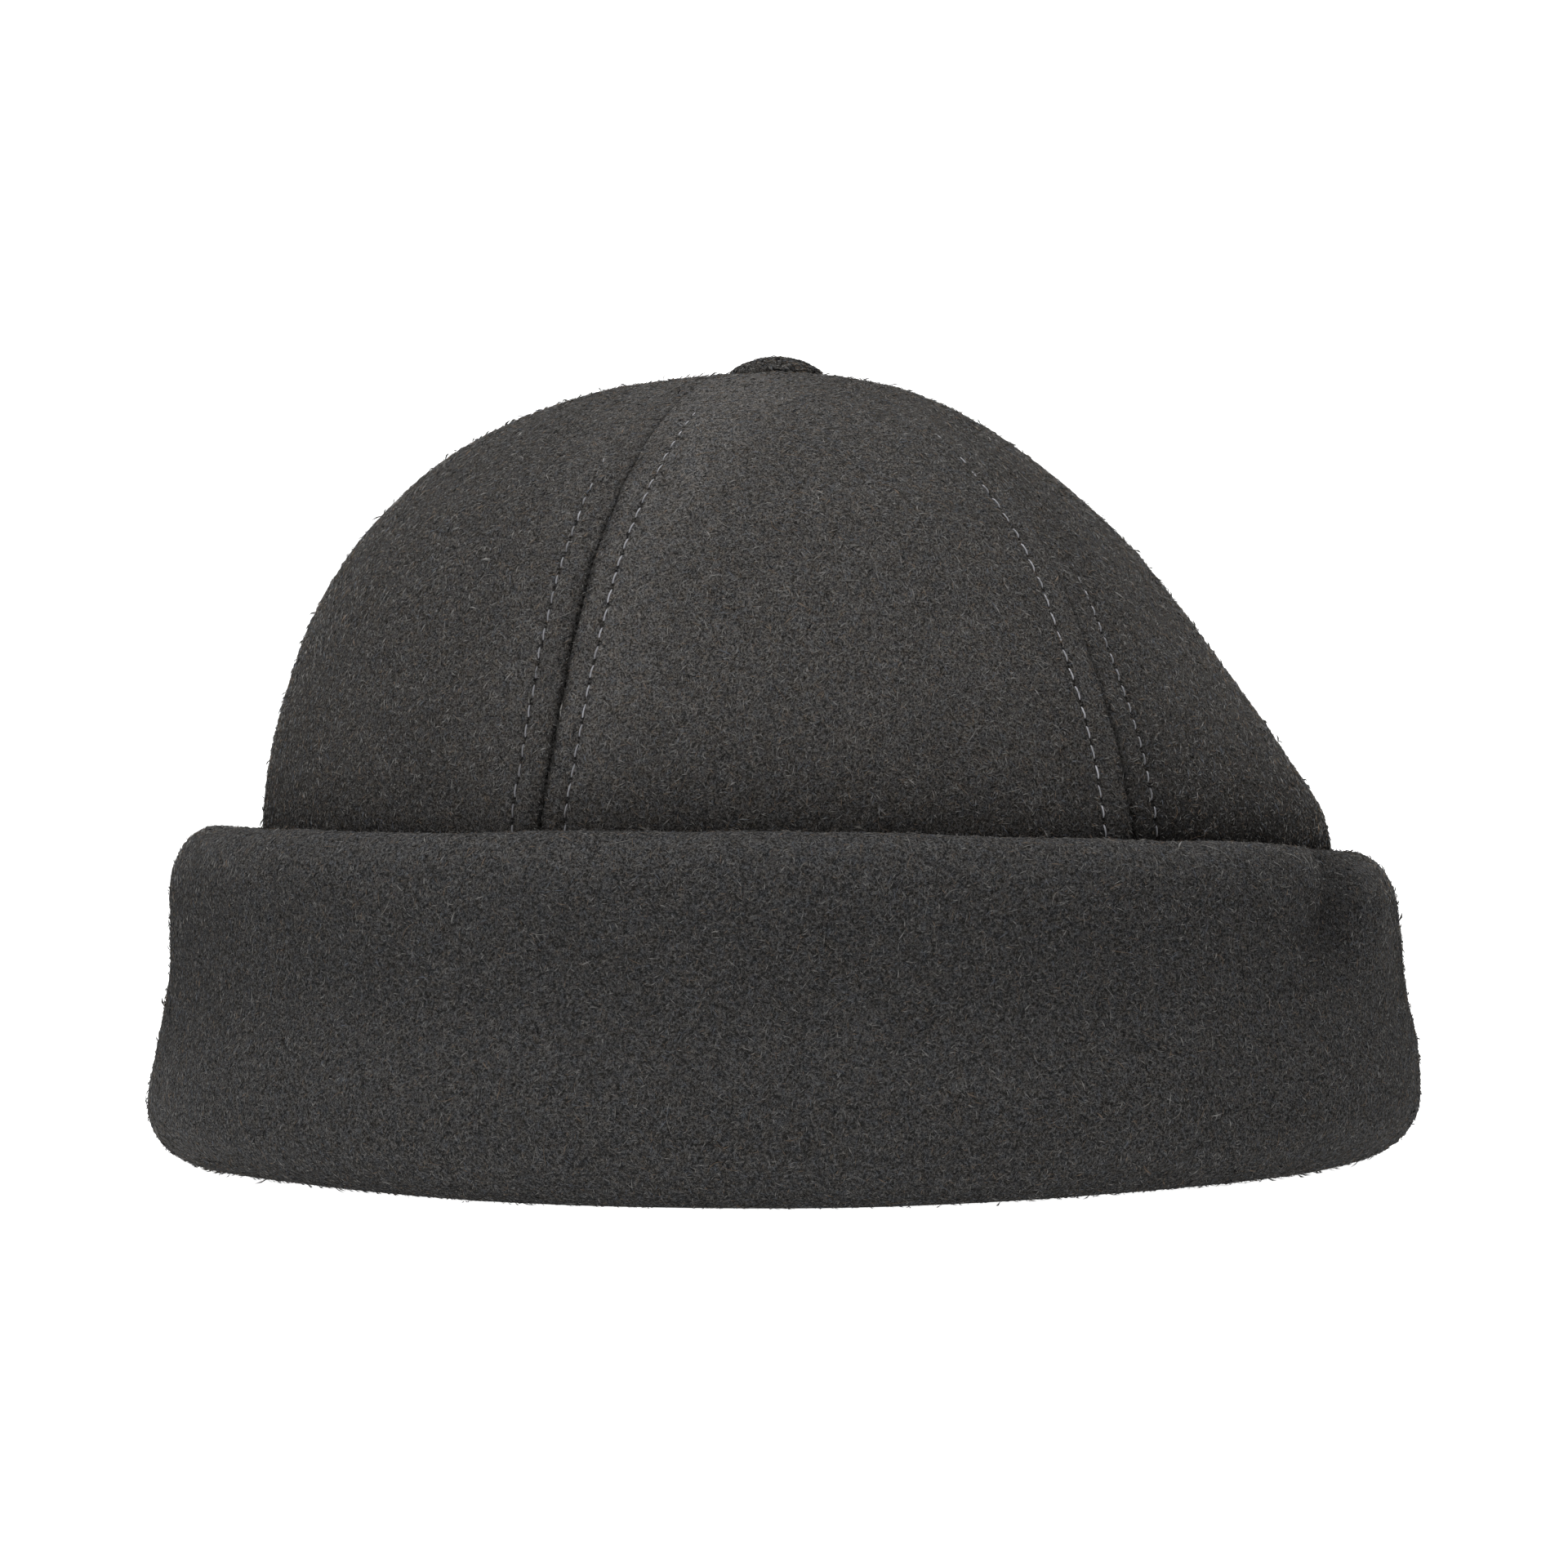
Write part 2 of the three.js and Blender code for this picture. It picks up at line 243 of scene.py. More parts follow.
# The stitches: shares of half a stitch where its points stand, how high they lie over the cloth, the thread's
# share of its thickness there, the lowest place of a stitch up the panel, its slant, how deep it lies where
# the row is out of sight, and the thread's turn from point to point and how oval it is
STITCH_ALONG = (-1, -0.80, -0.5, -0.17, 0.17, 0.5, 0.80, 1)
STITCH_RISE = (-0.60, -0.02, 0.08, 0.12, 0.12, 0.08, -0.02, -0.60)
STITCH_THICK = (0.6, 0.95, 1.0, 1.05, 1.05, 1.0, 0.95, 0.6)
LOWEST_STITCH = 40
STITCH_SLANT = 0.10
SUNK_ROW = 0.30
THREAD_TWIST = 1.05
THREAD_OVAL = 0.26
# Chance in the stitches: shares of their length and lightness, and how far they stray sideways and down. Then
# how much of the row has to show, how light a sunk stitch is, and the levels that the lightness is rounded to
STITCH_SHARES = (0.86, 1.12)
STITCH_LIGHTS = (0.72, 1.30)
SIDE_STRAY = 0.07
DOWN_STRAY = 0.05
LEAST_ROW = 0.05
SUNK_LIGHT = 0.4
THREAD_LIGHTS = (0.55, 0.80, 1.05, 1.30, 1.55)

# The nap: its tints with their shares, the fuzz's, the seams' and the curls', and how light it is on the cuff
NAP_TINTS = (
    ("light", (0.175, 0.171, 0.164), 0.26),
    ("grey", (0.110, 0.107, 0.103), 0.28),
    ("warm", (0.122, 0.096, 0.075), 0.17),
    ("cool", (0.082, 0.089, 0.102), 0.16),
    ("dark", (0.007, 0.007, 0.0075), 0.13),
)
FUZZ = (0.055, 0.053, 0.049)
FUZZ_THICK = 0.55
SEAM_NAP = (0.040, 0.039, 0.037)
SEAM_NAP_COUNT = 3600
CURL_TINTS = (("tan", (0.118, 0.088, 0.064)), ("pale", (0.170, 0.164, 0.154)))
CUFF_NAP = 0.86
NAP_SEED = 20
# The fibres' spread of directions in radians, of lengths and of thicknesses, and how far their far ends lift,
# as shares of their length: the nap's as (usual, spread), the fuzz's and the seams' as (least, most)
NAP_SCATTER = 1.05
NAP_LENGTHS = 0.34
NAP_THICKS = (0.75, 1.3)
NAP_LIFT = (0.04, 0.07)
FUZZ_LIFT = (0.1, 0.45)
SEAM_LIFT = (0, 0.2)
# A fibre's shape: how deep its near end is, its bend, and how high its crest is
FIBRE_DEPTH = 0.08
FIBRE_BEND = 0.035
FIBRE_CREST = (0.55, 0.95)
CREST_LIFT = 0.3
# A curl's: turn in radians, least turn, height of its ends and rise, thickness along it, length and thickness
CURL_TURN = 1.3
LEAST_TURN = 0.1
CURL_LEVEL = 0.04
CURL_RISE = (0.05, 0.45)
CURL_SHAPE = (0.4, 0.8, 1, 1, 1, 0.8, 0.4)
CURL_LENGTHS = (2.0, 4.2)
CURL_THICKS = (0.05, 0.10)
# Where fibres grow: the lowest and highest rows of the nap and the margin that it leaves at a seam, the same
# rows of the fibres over the seams and how far those stand from the seam and over it, the steps round the
# cuff, and the share of the button's fibres near its rim and how near
NAP_ROWS = (3.2, TOP_ROW - 1.0)
NAP_EDGE = 0.002
SEAM_ROWS = (3.6, TOP_ROW - 1.5)
SEAM_NAP_SPREAD = 0.55
SEAM_NAP_RISE = (0.05, 0.45)
CUFF_NAP_STEPS = 721
BUTTON_RIM_SHARE = 0.1
BUTTON_RIM_RING = 0.08

# The cloth's fine lines. Two bends, as (scale, amount in metres). Three layers, as (which bend they follow,
# how they are turned, scale, outer edge, brightness). Then their inner edge, strength and height
WOOL_BENDS = ((1500.0, 0.0016), (700.0, 0.0024))
WOOL_LINES = (
    (0, (0.4, 0.2, 0.9), 1150.0, 0.085, 1.0),
    (1, (1.1, 0.7, 0.2), 1500.0, 0.095, 0.85),
    (0, (0.2, 1.3, 2.1), 2000.0, 0.110, 0.7),
)
LINE_EDGE = 0.03
LINE_STRENGTH = 4.5
LINE_HEIGHT = 0.35
# Noises of the cloth, as (scale, detail, roughness): what breaks the lines, the ground and the warm places.
# Ranges of a noise and what they turn into: which lines show, and how light the ground is
BREAK_NOISE = (1700.0, 0.0)
GROUND_NOISE = (2400.0, 2.0, 0.7)
TINT_NOISE = (900.0, 1.0)
BREAK_RANGE = (0.42, 0.56, 0.0, 1.0)
GROUND_RANGE = (0.32, 0.68, 0.55, 1.25)
BUMP_DISTANCE = 0.00016
# How much finer the lines are on the crown and on the cuff than on the button, and how light the button is
CROWN_FINE = 1.35
CUFF_FINENESS = 1.2
BUTTON_SHADE = 0.8
# The shares of red, green and blue in the cool and the warm places
COOL_TINT = (0.90, 1.0, 1.13)
WARM_TINT = (1.12, 1.0, 0.84)
# The groove's shade: a noise, its range and how strong it makes the groove, and the cloth's lightness from no
# groove to a full one. The needle holes' place in a stitch, and their darkness from one distance to another
HOLD_NOISE = (1500.0, 1.0)
HOLD_RANGE = (0.35, 0.65, 1.4, 0.45)
GROOVE_RANGE = (0.0, 1.0, 1.0, 0.35)
NEEDLE_AT = 0.39
HOLE_RANGE = (0.12, 0.5, 0.75, 0.0)

# The stage: half its width, where it begins and where it bends up, the radius of the bend and its height
FLOOR_HALF = 9000.0
FLOOR_NEAR = -9000.0
FLOOR_FAR = 900.0
FLOOR_BEND = 700.0
FLOOR_HIGH = 2400.0
WORLD_LIGHT = 0.02
# The lights, in metres and watts: name, place, aim, size and power
LIGHTS = (
    ("top", (0.0, -0.14, 1.5), (0.0, 0.0, 0.1), 0.6, 29.0),
    ("top_back", (0.0, 0.45, 1.4), (0.0, 0.0, 0.12), 0.6, 7.0),
    ("front_low", (0.0, -1.7, 0.35), (0.0, 0.0, 0.08), 0.7, 2.6),
    ("left_low", (-1.0, -1.0, 0.15), (0.0, 0.0, 0.03), 0.25, 6.3),
    ("backdrop", (0.0, 0.8, 1.7), (0.0, 1.6, 0.5), 1.0, 6.0),
)

# The photograph's camera
PHOTO_SIDE = 1920
PHOTO_HORIZON = 1020
PHOTO_SCALE = 6.44
CAMERA_DISTANCE = 790.0
CAMERA_HEIGHT = 62.9
SENSOR = 36.0


class CapLook(bpy.types.PropertyGroup):
    """Sizes and colours of the sewing, the nap and the cloth."""

    stitch_pitch: bpy.props.FloatProperty(
        name="Stitch pitch", description="From one stitch to the next", default=0.0035, unit="LENGTH"
    )
    stitch_length: bpy.props.FloatProperty(
        name="Stitch length",
        description="Length of each stitch, with the ends that dip into the cloth",
        default=0.0026,
        unit="LENGTH",
    )
    thread: bpy.props.FloatProperty(
        name="Thread", description="Diameter of the sewing thread", default=0.00030, unit="LENGTH"
    )
    nap_length: bpy.props.FloatProperty(
        name="Nap length", description="Length of a usual fibre of the nap", default=0.0011, unit="LENGTH"
    )
    nap_thickness: bpy.props.FloatProperty(
        name="Nap thickness", description="Thickness of a fibre at its middle", default=0.00010, unit="LENGTH"
    )
    crown_fibres: bpy.props.IntProperty(
        name="Crown fibres", description="How many fibres lie on the crown", default=80000
    )
    cuff_fibres: bpy.props.IntProperty(
        name="Cuff fibres", description="How many fibres lie on the cuff", default=57000
    )
    button_fibres: bpy.props.IntProperty(
        name="Button fibres", description="How many fibres lie on the button", default=1600
    )
    curls: bpy.props.IntProperty(
        name="Curls", description="How many long loose fibres of each tint lie on the wool", default=360
    )
    crown_fuzz: bpy.props.IntProperty(
        name="Crown fuzz", description="How many thinner fibres stand off the crown", default=17000
    )
    cuff_fuzz: bpy.props.IntProperty(
        name="Cuff fuzz", description="How many thinner fibres stand off the cuff", default=14000
    )
    wool: bpy.props.FloatVectorProperty(
        name="Wool", description="Colour of the cloth", default=(0.0192, 0.0185, 0.0180), subtype="COLOR"
    )
    cuff_wool: bpy.props.FloatVectorProperty(
        name="Cuff wool",
        description="Colour of the cuff's cloth",
        default=(0.0147, 0.0145, 0.0145),
        subtype="COLOR",
    )
    thread_colour: bpy.props.FloatVectorProperty(
        name="Thread colour",
        description="Colour of the sewing thread",
        default=(0.205, 0.206, 0.222),
        subtype="COLOR",
    )


def catmull_rom(rows, t):
    """Each column of rows at the row numbers t: the cubic through the four rows around t whose slope at a
    row is half the difference between the rows before and after it."""
    rows = np.asarray(rows, float)
    last = len(rows) - 1
    i = np.clip(np.floor(t).astype(int), 0, last - 1)
    f = (t - i)[..., None]
    a, b, c, d = (rows[np.clip(i + k, 0, last)] for k in (-1, 0, 1, 2))
    return b + 0.5 * f * (c - a + f * (2 * a - 5 * b + 4 * c - d + f * (3 * (b - c) + d - a)))


def crown_level(t):
    """The crown's table at row numbers t, as a dictionary of columns."""
    values = catmull_rom(CROWN_LEVELS, t)
    return {name: values[..., k] for k, name in enumerate(CROWN_COLUMNS)}


def crown_points(angle, t):
    """Points of the crown's outer face: at row t, a front and a back half-ellipse round the axis."""
    level = crown_level(t)
    reach = np.where(np.cos(angle) > 0, level["back"], level["front"])
    x, y = AXIS_X + reach * np.cos(angle), level["side"] * np.sin(angle)
    return np.stack([x, y, level["z"] + 0 * angle], -1)


def unit(v):
    """Vectors scaled to length one."""
    return v / np.maximum(np.linalg.norm(v, axis=-1, keepdims=True), 1e-12)


def hump(value, at, spread):
    """A bell-shaped share of one where the value is at, which falls away on both sides."""
    return np.exp(-(((value - at) / spread) ** 2))


def smooth(value):
    """The value between 0 and 1, with a level start and end: three times its square less twice its cube."""
    value = np.clip(value, 0, 1)
    return value**2 * (3 - 2 * value)


def crown_normals(angle, t):
    """Outward normals: the cross product of the differences along the angle and along the rows."""
    d = 1e-3
    low, high = np.maximum(t - d, 0), np.minimum(t + d, TOP_ROW)
    across = crown_points(angle + d, t) - crown_points(angle - d, t)
    up = crown_points(angle, high) - crown_points(angle, low)
    return unit(np.cross(across, up))


def waves(points, size, seed, octaves=3):
    """A soft random relief from about -1 to 1: a sum of sine waves in seeded directions, the first as long
    as size and each next octave half as long and half as high."""
    rng = np.random.default_rng(seed)
    total = np.zeros(points.shape[:-1])
    weight = 0.0
    for octave in range(octaves):
        strength = 0.5**octave
        for _ in range(WAVES_EACH):
            way = unit(rng.normal(size=3)) * 2 * np.pi / (size / 2**octave) * rng.uniform(*WAVE_SHARES)
            total += strength * np.sin(points @ way + rng.uniform(0, 2 * np.pi))
            weight += strength**2 / 2
    return total / math.sqrt(weight) / 2


def uneven(points, layers):
    """The sum of layers of waves, each times its height in mm."""
    return sum(high * waves(points, size, seed, octaves) for high, size, seed, octaves in layers)


def seam_relief(d, along, sewn, pitch):
    """Height of the cloth at distance d from a seam, in mm: it rolls into the seam, swells over the turned
    edge that lies under it, and is drawn in at the row of stitches, most where the needle went in."""
    section = sum(high * hump(d, at, spread) for high, at, spread in SEAM_SECTION)
    needle = 0.5 + 0.5 * np.cos(2 * np.pi * along / pitch)
    pull = -(ROW_DEPTH + NEEDLE_DEPTH * needle**2) * hump(d, sewn["offset"], ROW_WIDTH)
    step = -ROW_STEP / (1 + np.exp(-(d - sewn["offset"]) / ROW_STEP_WIDTH))
    return (section + step) * sewn["groove"] + pull * sewn["row"]


class Panel:
    """One of the crown's six panels, as a surface over (across, up), both from 0 to 1."""

    def __init__(self, name, side, sign, look):
        self.name = name
        self.sign = sign
        self.pitch = look.stitch_pitch / MM
        self.node = f"crown_panel_{name}_{side}"
        self.seams = PANEL_SEAMS[name][::sign]

    def ends(self, t):
        """The angles of the panel's two seams at row t, turning anticlockwise seen from above."""
        level = crown_level(t)
        low = {"back": 0 * t, "side": level["rear_seam"], "front": level["front_seam"]}[self.name]
        high = {"back": level["rear_seam"], "side": level["front_seam"], "front": 0 * t + 180}[self.name]
        a, b = np.radians(low * self.sign), np.radians(high * self.sign)
        return (a, b) if self.sign > 0 else (b, a)

    def width(self, t):
        """How wide the panel is at row t, in mm: the length of a line of straight pieces across it."""
        a, b = self.ends(t)
        share = np.linspace(0, 1, ARC_POINTS).reshape((ARC_POINTS,) + (1,) * np.ndim(t))
        points = crown_points(a + (b - a) * share, t + 0 * share)
        return np.linalg.norm(np.diff(points, axis=0), axis=-1).sum(0)

    def along(self, t):
        """Length up the panel to row t, in mm, along the line half-way between its seams."""
        steps = np.linspace(0, TOP_ROW, LENGTH_POINTS)
        a, b = self.ends(steps)
        points = crown_points((a + b) / 2, steps)
        run = np.concatenate([[0], np.cumsum(np.linalg.norm(np.diff(points, axis=0), axis=-1))])
        return np.interp(t, steps, run)

    def sewing(self, across, t):
        """The sewing beside the nearer seam, as a dictionary: the row's offset, how much of the row and of
        the seam's groove shows, up to 1, and the thread's lightness."""
        z = crown_level(t)["z"]
        first, last = (SEWING[seam, self.name] for seam in self.seams)
        near = dict(zip(SEWING_COLUMNS, (np.where(across < 0.5, a, b) for a, b in zip(first, last))))
        rise = np.clip((z - SEWING_LEVELS[0]) / (SEWING_LEVELS[1] - SEWING_LEVELS[0]), 0, 1)
        return {
            "offset": near["low"] + (near["high"] - near["low"]) * rise,
            "row": np.clip((near["row_top"] - z) / ROW_FADE, 0, 1),
            "groove": np.clip((near["groove_top"] - z) / near["groove_fade"], LEAST_GROOVE, 1),
            "light": near["light"],
        }

    def tone_and_painted_light(self, across, t):
        """Painted light and shade of the cloth: the panel's own painted level, which stands for how its nap
        catches the light, times a bell-shaped band beside the nearer seam of painted highlight at a front
        seam and painted shade at a rear one, which fades where the panel narrows and grows from one level up,
        times a bell-shaped painted shade above the cuff's fold."""
        bands = [SEAM_PAINTED_BANDS[seam] for seam in self.seams]
        z = crown_level(t)["z"]
        gain = 1 + BAND_GAIN * np.clip((z - BAND_LEVEL) / BAND_RISE, 0, 1)
        band = np.where(across < 0.5, *bands) * gain * np.clip(self.width(t) / BAND_WIDTH, 0, 1)
        d = np.minimum(across, 1 - across) * self.width(t)
        beside = 1 + band * hump(d, SEAM_BAND_AT, SEAM_BAND_SPREAD)
        shade = PANEL_PAINTED_SHADE[self.name] * hump(z, CUFF_TOP, SHADE_SPREAD)
        return PANEL_PAINTED_LIGHT[self.name] * beside * (1 - shade)

    def surface(self, across, t, depth=0.0):
        """Points and normals of the cloth, depth mm under its outer face. The face is the crown's plus the
        relief of the nearer seam and a soft unevenness. Where the nap closes over a seam, its edges all but
        meet."""
        a, b = self.ends(t)
        width = self.width(t)
        sewn = self.sewing(across, t)
        inset = SEAM_GAP / 2 / width
        share = inset + (1 - 2 * inset) * across
        angle = a + (b - a) * share
        point = crown_points(angle, t)
        normal = crown_normals(angle, t)
        d = np.minimum(share, 1 - share) * width
        relief = seam_relief(d, self.along(t), sewn, self.pitch)
        relief = relief * np.clip(width / RELIEF_WIDTH, LEAST_RELIEF, 1) + uneven(point, CROWN_WAVES)
        if depth:
            relief = 0 * relief - depth
        level = unit(np.cross(np.array([0.0, 0.0, 1.0]) + 0 * normal, normal))
        drift = uneven(point, SEAM_WAVES) * hump(d, 0, DRIFT_REACH)
        closer = CLOSED * SEAM_GAP / 2 * (1 - 0.5 * sewn["groove"])
        close = np.sign(across - 0.5) * closer * hump(d, 0, CLOSE_REACH)
        return point + normal * relief[..., None] + level * (drift + close)[..., None], normal


def mesh_object(name, verts, faces, material):
    """A new mesh object from points in mm and faces as an array of quads or triangles."""
    mesh = bpy.data.meshes.new(name)
    verts = np.ascontiguousarray(verts, dtype=np.float32) * np.float32(MM)
    mesh.vertices.add(len(verts))
    mesh.vertices.foreach_set("co", verts.ravel())
    groups = faces if isinstance(faces, (list, tuple)) else [faces]
    loops = np.concatenate([g.ravel() for g in groups]).astype(np.int32)
    sizes = np.concatenate([np.full(len(g), g.shape[1]) for g in groups]).astype(np.int32)
    mesh.loops.add(len(loops))
    mesh.loops.foreach_set("vertex_index", loops)
    mesh.polygons.add(len(sizes))
    mesh.polygons.foreach_set("loop_start", np.concatenate([[0], np.cumsum(sizes)[:-1]]).astype(np.int32))
    mesh.polygons.foreach_set("loop_total", sizes)
    mesh.polygons.foreach_set("use_smooth", np.ones(len(sizes), dtype=bool))
    mesh.update(calc_edges=True)
    mesh.validate()
    mesh.materials.append(material)
    obj = bpy.data.objects.new(name, mesh)
    bpy.context.scene.collection.objects.link(obj)
    return obj


def grid_faces(rows, columns, start=0, wrap_rows=False, wrap_columns=False, flip=False):
    """Quads over a grid of points that are numbered row by row from start."""
    i = np.arange(rows if wrap_rows else rows - 1)[:, None]
    j = np.arange(columns if wrap_columns else columns - 1)[None, :]
    i2, j2 = (i + 1) % rows, (j + 1) % columns
    quads = [i * columns + j, i * columns + j2, i2 * columns + j2, i2 * columns + j]
    quads = start + np.stack(np.broadcast_arrays(*quads), -1).reshape(-1, 4)
    return quads[:, ::-1] if flip else quads


def strip_faces(fine, coarse):
    """Triangles between two rows of point numbers that run side by side, with more points in the first:
    each edge goes to the point of the other row that stands at the nearest share of its length."""
    n, m = len(fine) - 1, len(coarse) - 1
    near = np.rint(np.arange(n + 1) * m / n).astype(int)
    k = np.arange(n)
    first = np.stack([fine[k], fine[k + 1], coarse[near[k]]], -1)
    step = near[k + 1] > near[k]
    second = np.stack([fine[k + 1], coarse[near[k + 1]], coarse[near[k]]], -1)[step]
    return np.vstack([first, second])


def across_shares(width):
    """Shares across a panel of that width in mm: finest beside the seams, fine as far as the stitches, and
    coarser between."""
    edge, fine = EDGE_COLUMNS
    sewn, middling = SEWN_COLUMNS
    middle = np.linspace(sewn, width / 2, MIDDLE_COLUMNS)
    half = np.concatenate([np.arange(0, edge, fine), np.arange(edge, sewn, middling), middle]) / width
    return np.concatenate([half, 1 - half[-2::-1]])


def panel_object(panel, material):
    """The panel as one closed piece of cloth: a fine outer face, a coarse inner face and the edges between
    them. Its attributes carry how dark the seam's groove is, the distance from the row of stitches and
    along it, in mm, how much of that row shows, and the cloth's painted light and shade."""
    steps = np.linspace(0, TOP_ROW, ROW_POINTS)
    run = panel.along(steps)
    hidden = float(np.interp(HIDDEN_LEVEL, crown_level(steps)["z"], run))
    rows_at = [np.linspace(0, hidden, HIDDEN_ROWS)[:-1], np.linspace(hidden, run[-1], SHOWN_ROWS)]
    rows_at = np.concatenate(rows_at)
    t = np.interp(rows_at, run, steps)[:, None]
    share_out = across_shares(float(panel.width(np.array(WIDTH_ROW))))
    share_in = np.linspace(0, 1, INNER_COLUMNS)
    rows, columns, inner_columns = len(t), len(share_out), len(share_in)
    outer, _ = panel.surface(share_out[None, :], t)
    inner, _ = panel.surface(share_in[None, :], t, CLOTH)
    verts = np.vstack([outer.reshape(-1, 3), inner.reshape(-1, 3)])
    base = rows * columns
    face_out = grid_faces(rows, columns)
    face_in = grid_faces(rows, inner_columns, base, flip=True)
    first = np.arange(rows)
    out_edge, in_edge = first * columns, base + first * inner_columns
    left = np.stack([out_edge[:-1], out_edge[1:], in_edge[1:], in_edge[:-1]], -1)
    right = left + np.array([columns - 1, columns - 1, inner_columns - 1, inner_columns - 1])
    low = strip_faces(np.arange(columns), base + np.arange(inner_columns))
    high = strip_faces(out_edge[-1] + np.arange(columns), in_edge[-1] + np.arange(inner_columns))
    quads = np.vstack([face_out, face_in, left, right[:, ::-1]])
    tris = np.vstack([low[:, ::-1], high])
    obj = mesh_object("cloth_" + panel.node, verts, [quads, tris], material)
    shares = np.concatenate([np.broadcast_to(v, (rows, v.size)).ravel() for v in (share_out, share_in)])
    level = np.concatenate([np.repeat(t.ravel(), v.size) for v in (share_out, share_in)])
    sewn = panel.sewing(shares, level)
    from_seam = np.minimum(shares, 1 - shares) * panel.width(level)
    groove = hump(from_seam * (1 + uneven(verts, GROOVE_WAVES)), 0, GROOVE_WIDTH) * sewn["groove"]
    add_attribute(obj.data, "groove", groove)
    add_attribute(obj.data, "from_row", from_seam - sewn["offset"])
    add_attribute(obj.data, "along_row", panel.along(level))
    add_attribute(obj.data, "row", sewn["row"])
    # Painted light and shade of the panel, which the wool's colour is multiplied by
    add_attribute(obj.data, "tone_and_painted_light", panel.tone_and_painted_light(shares, level))
    return obj


def add_attribute(mesh, name, values):
    """Keeps one number for each point of the mesh."""
    layer = mesh.attributes.new(name, "FLOAT", "POINT")
    layer.data.foreach_set("value", np.asarray(values, dtype=np.float32))


def bezier(a, b, c, d, n):
    """n points of cubic curves from a to d, whose ends lean towards b and c. Each is an (angles, 2) array."""
    s = np.linspace(0, 1, n)[None, :, None]
    a, b, c, d = (p[:, None, :] for p in (a, b, c, d))
    return (1 - s) ** 3 * a + 3 * (1 - s) ** 2 * s * b + 3 * (1 - s) * s**2 * c + s**3 * d


def line(a, d, n):
    """n points from a to d."""
    s = np.linspace(0, 1, n)[None, :, None]
    return a[:, None, :] * (1 - s) + d[:, None, :] * s


def corner(a, d, level_first, n):
    """A quarter of an ellipse from a to d that leaves a along the level, or upright."""
    k = QUARTER_ELLIPSE
    ab, cd = a.copy(), d.copy()
    first, second = (0, 1) if level_first else (1, 0)
    ab[:, first] = a[:, first] + (d[:, first] - a[:, first]) * k
    cd[:, second] = d[:, second] - (d[:, second] - a[:, second]) * k
    return bezier(a, ab, cd, d, n)


def cuff_sections(angle, counts):
    """The outer line of the cuff's cloth at each angle, as (angles, points, 2) of distance out and height:
    down the hem, under the roll, up outside, over the fold and down inside. counts has the points of each
    stretch."""
    share = np.cos(angle) ** 2
    at = {}
    for name, (front, side, back) in CUFF_FEATURES.items():
        at[name] = side + (np.where(np.cos(angle) > 0, back, front) - side) * share
    wave_at, spread, lift = ROLL_WAVE
    floor = HEEL_LIFT * smooth(np.cos(angle)) + lift * bell(angle, wave_at, spread)

    def p(out, height):
        return np.stack(np.broadcast_arrays(out + 0 * angle, height + 0 * angle), -1)

    reach = (at["waist_height"] - at["flare_height"]) * at["flare_softness"]
    hem_top, hem_low = p(HEM_OUT, HEM_TOP), p(HEM_OUT, floor + HEM_CORNER)
    foot_in, foot_out = p(HEM_OUT + HEM_CORNER, floor), p(at["foot_out"], floor)
    flare, waist = p(at["flare_out"], at["flare_height"]), p(at["waist_out"], at["waist_height"])
    shoulder = p(at["shoulder_out"], at["shoulder_height"])
    ridge = p(at["ridge_out"], at["ridge_height"])
    tuck, end = p(at["tuck_out"], at["tuck_height"]), p(at["tuck_out"], TUCK_END)
    up, down = flare.copy(), waist.copy()
    up[:, 1] += reach
    down[:, 1] -= reach
    stretches = [
        line(hem_top, hem_low, counts[0]),
        corner(hem_low, foot_in, False, counts[1]),
        line(foot_in, foot_out, counts[2]),
        corner(foot_out, flare, True, counts[3]),
        bezier(flare, up, down, waist, counts[4]),
        line(waist, shoulder, counts[5]),
        corner(shoulder, ridge, False, counts[6]),
        corner(ridge, tuck, True, counts[7]),
        line(tuck, end, counts[8]),
    ]
    return np.concatenate([stretches[0]] + [s[:, 1:] for s in stretches[1:]], axis=1)


def section_normals(section):
    """Normals of the section lines, to the right of the way that they run: away from the cloth."""
    way = np.gradient(section, axis=1)
    return unit(np.stack([way[..., 1], -way[..., 0]], -1))


def cuff_shape(angle, section):
    """Carries section points (out, height) at each angle round the crown's lower wall, and adds the soft
    dent behind the wearer's left ear."""
    front, side, back = CROWN_LEVELS[0][1:4]
    reach = np.where(np.cos(angle) > 0, back, front)
    foot = np.stack([AXIS_X + reach * np.cos(angle), side * np.sin(angle)], -1)
    out = unit(np.stack([side * np.cos(angle), reach * np.sin(angle)], -1))
    far, height = section[..., 0], section[..., 1]
    grow = smooth((far - DENT_FROM) / DENT_GROWTH)
    far = far - dent(angle[:, None], height) * grow
    height = height + fold_lift(angle[:, None], height) * grow
    flat = foot[:, None, :] + out[:, None, :] * far[..., None]
    return np.concatenate([flat, height[..., None]], -1), out


def bell(angle, at, spread):
    """A bell-shaped share of one at a direction in degrees, which falls away on both sides. The angle is in
    radians."""
    return hump((np.degrees(angle) - at + 180) % 360 - 180, 0, spread)


def side_hump(angle, height, row):
    """One row of the humps over the turn and the height: how much, times a bell-shaped share of the turn
    that leans to the front going down, times a bell-shaped share of the height."""
    much, at, lean, spread, level, tall = row
    return much * bell(angle, at - (DENT_TOP - height) * lean, spread) * hump(height, level, tall)


def dent(angle, height):
    """Depth of the dent behind the wearer's left ear, in mm: a hollow that runs down from a notch in the
    fold, and a swelling behind it."""
    return sum(side_hump(angle, height, row) for row in DENT)


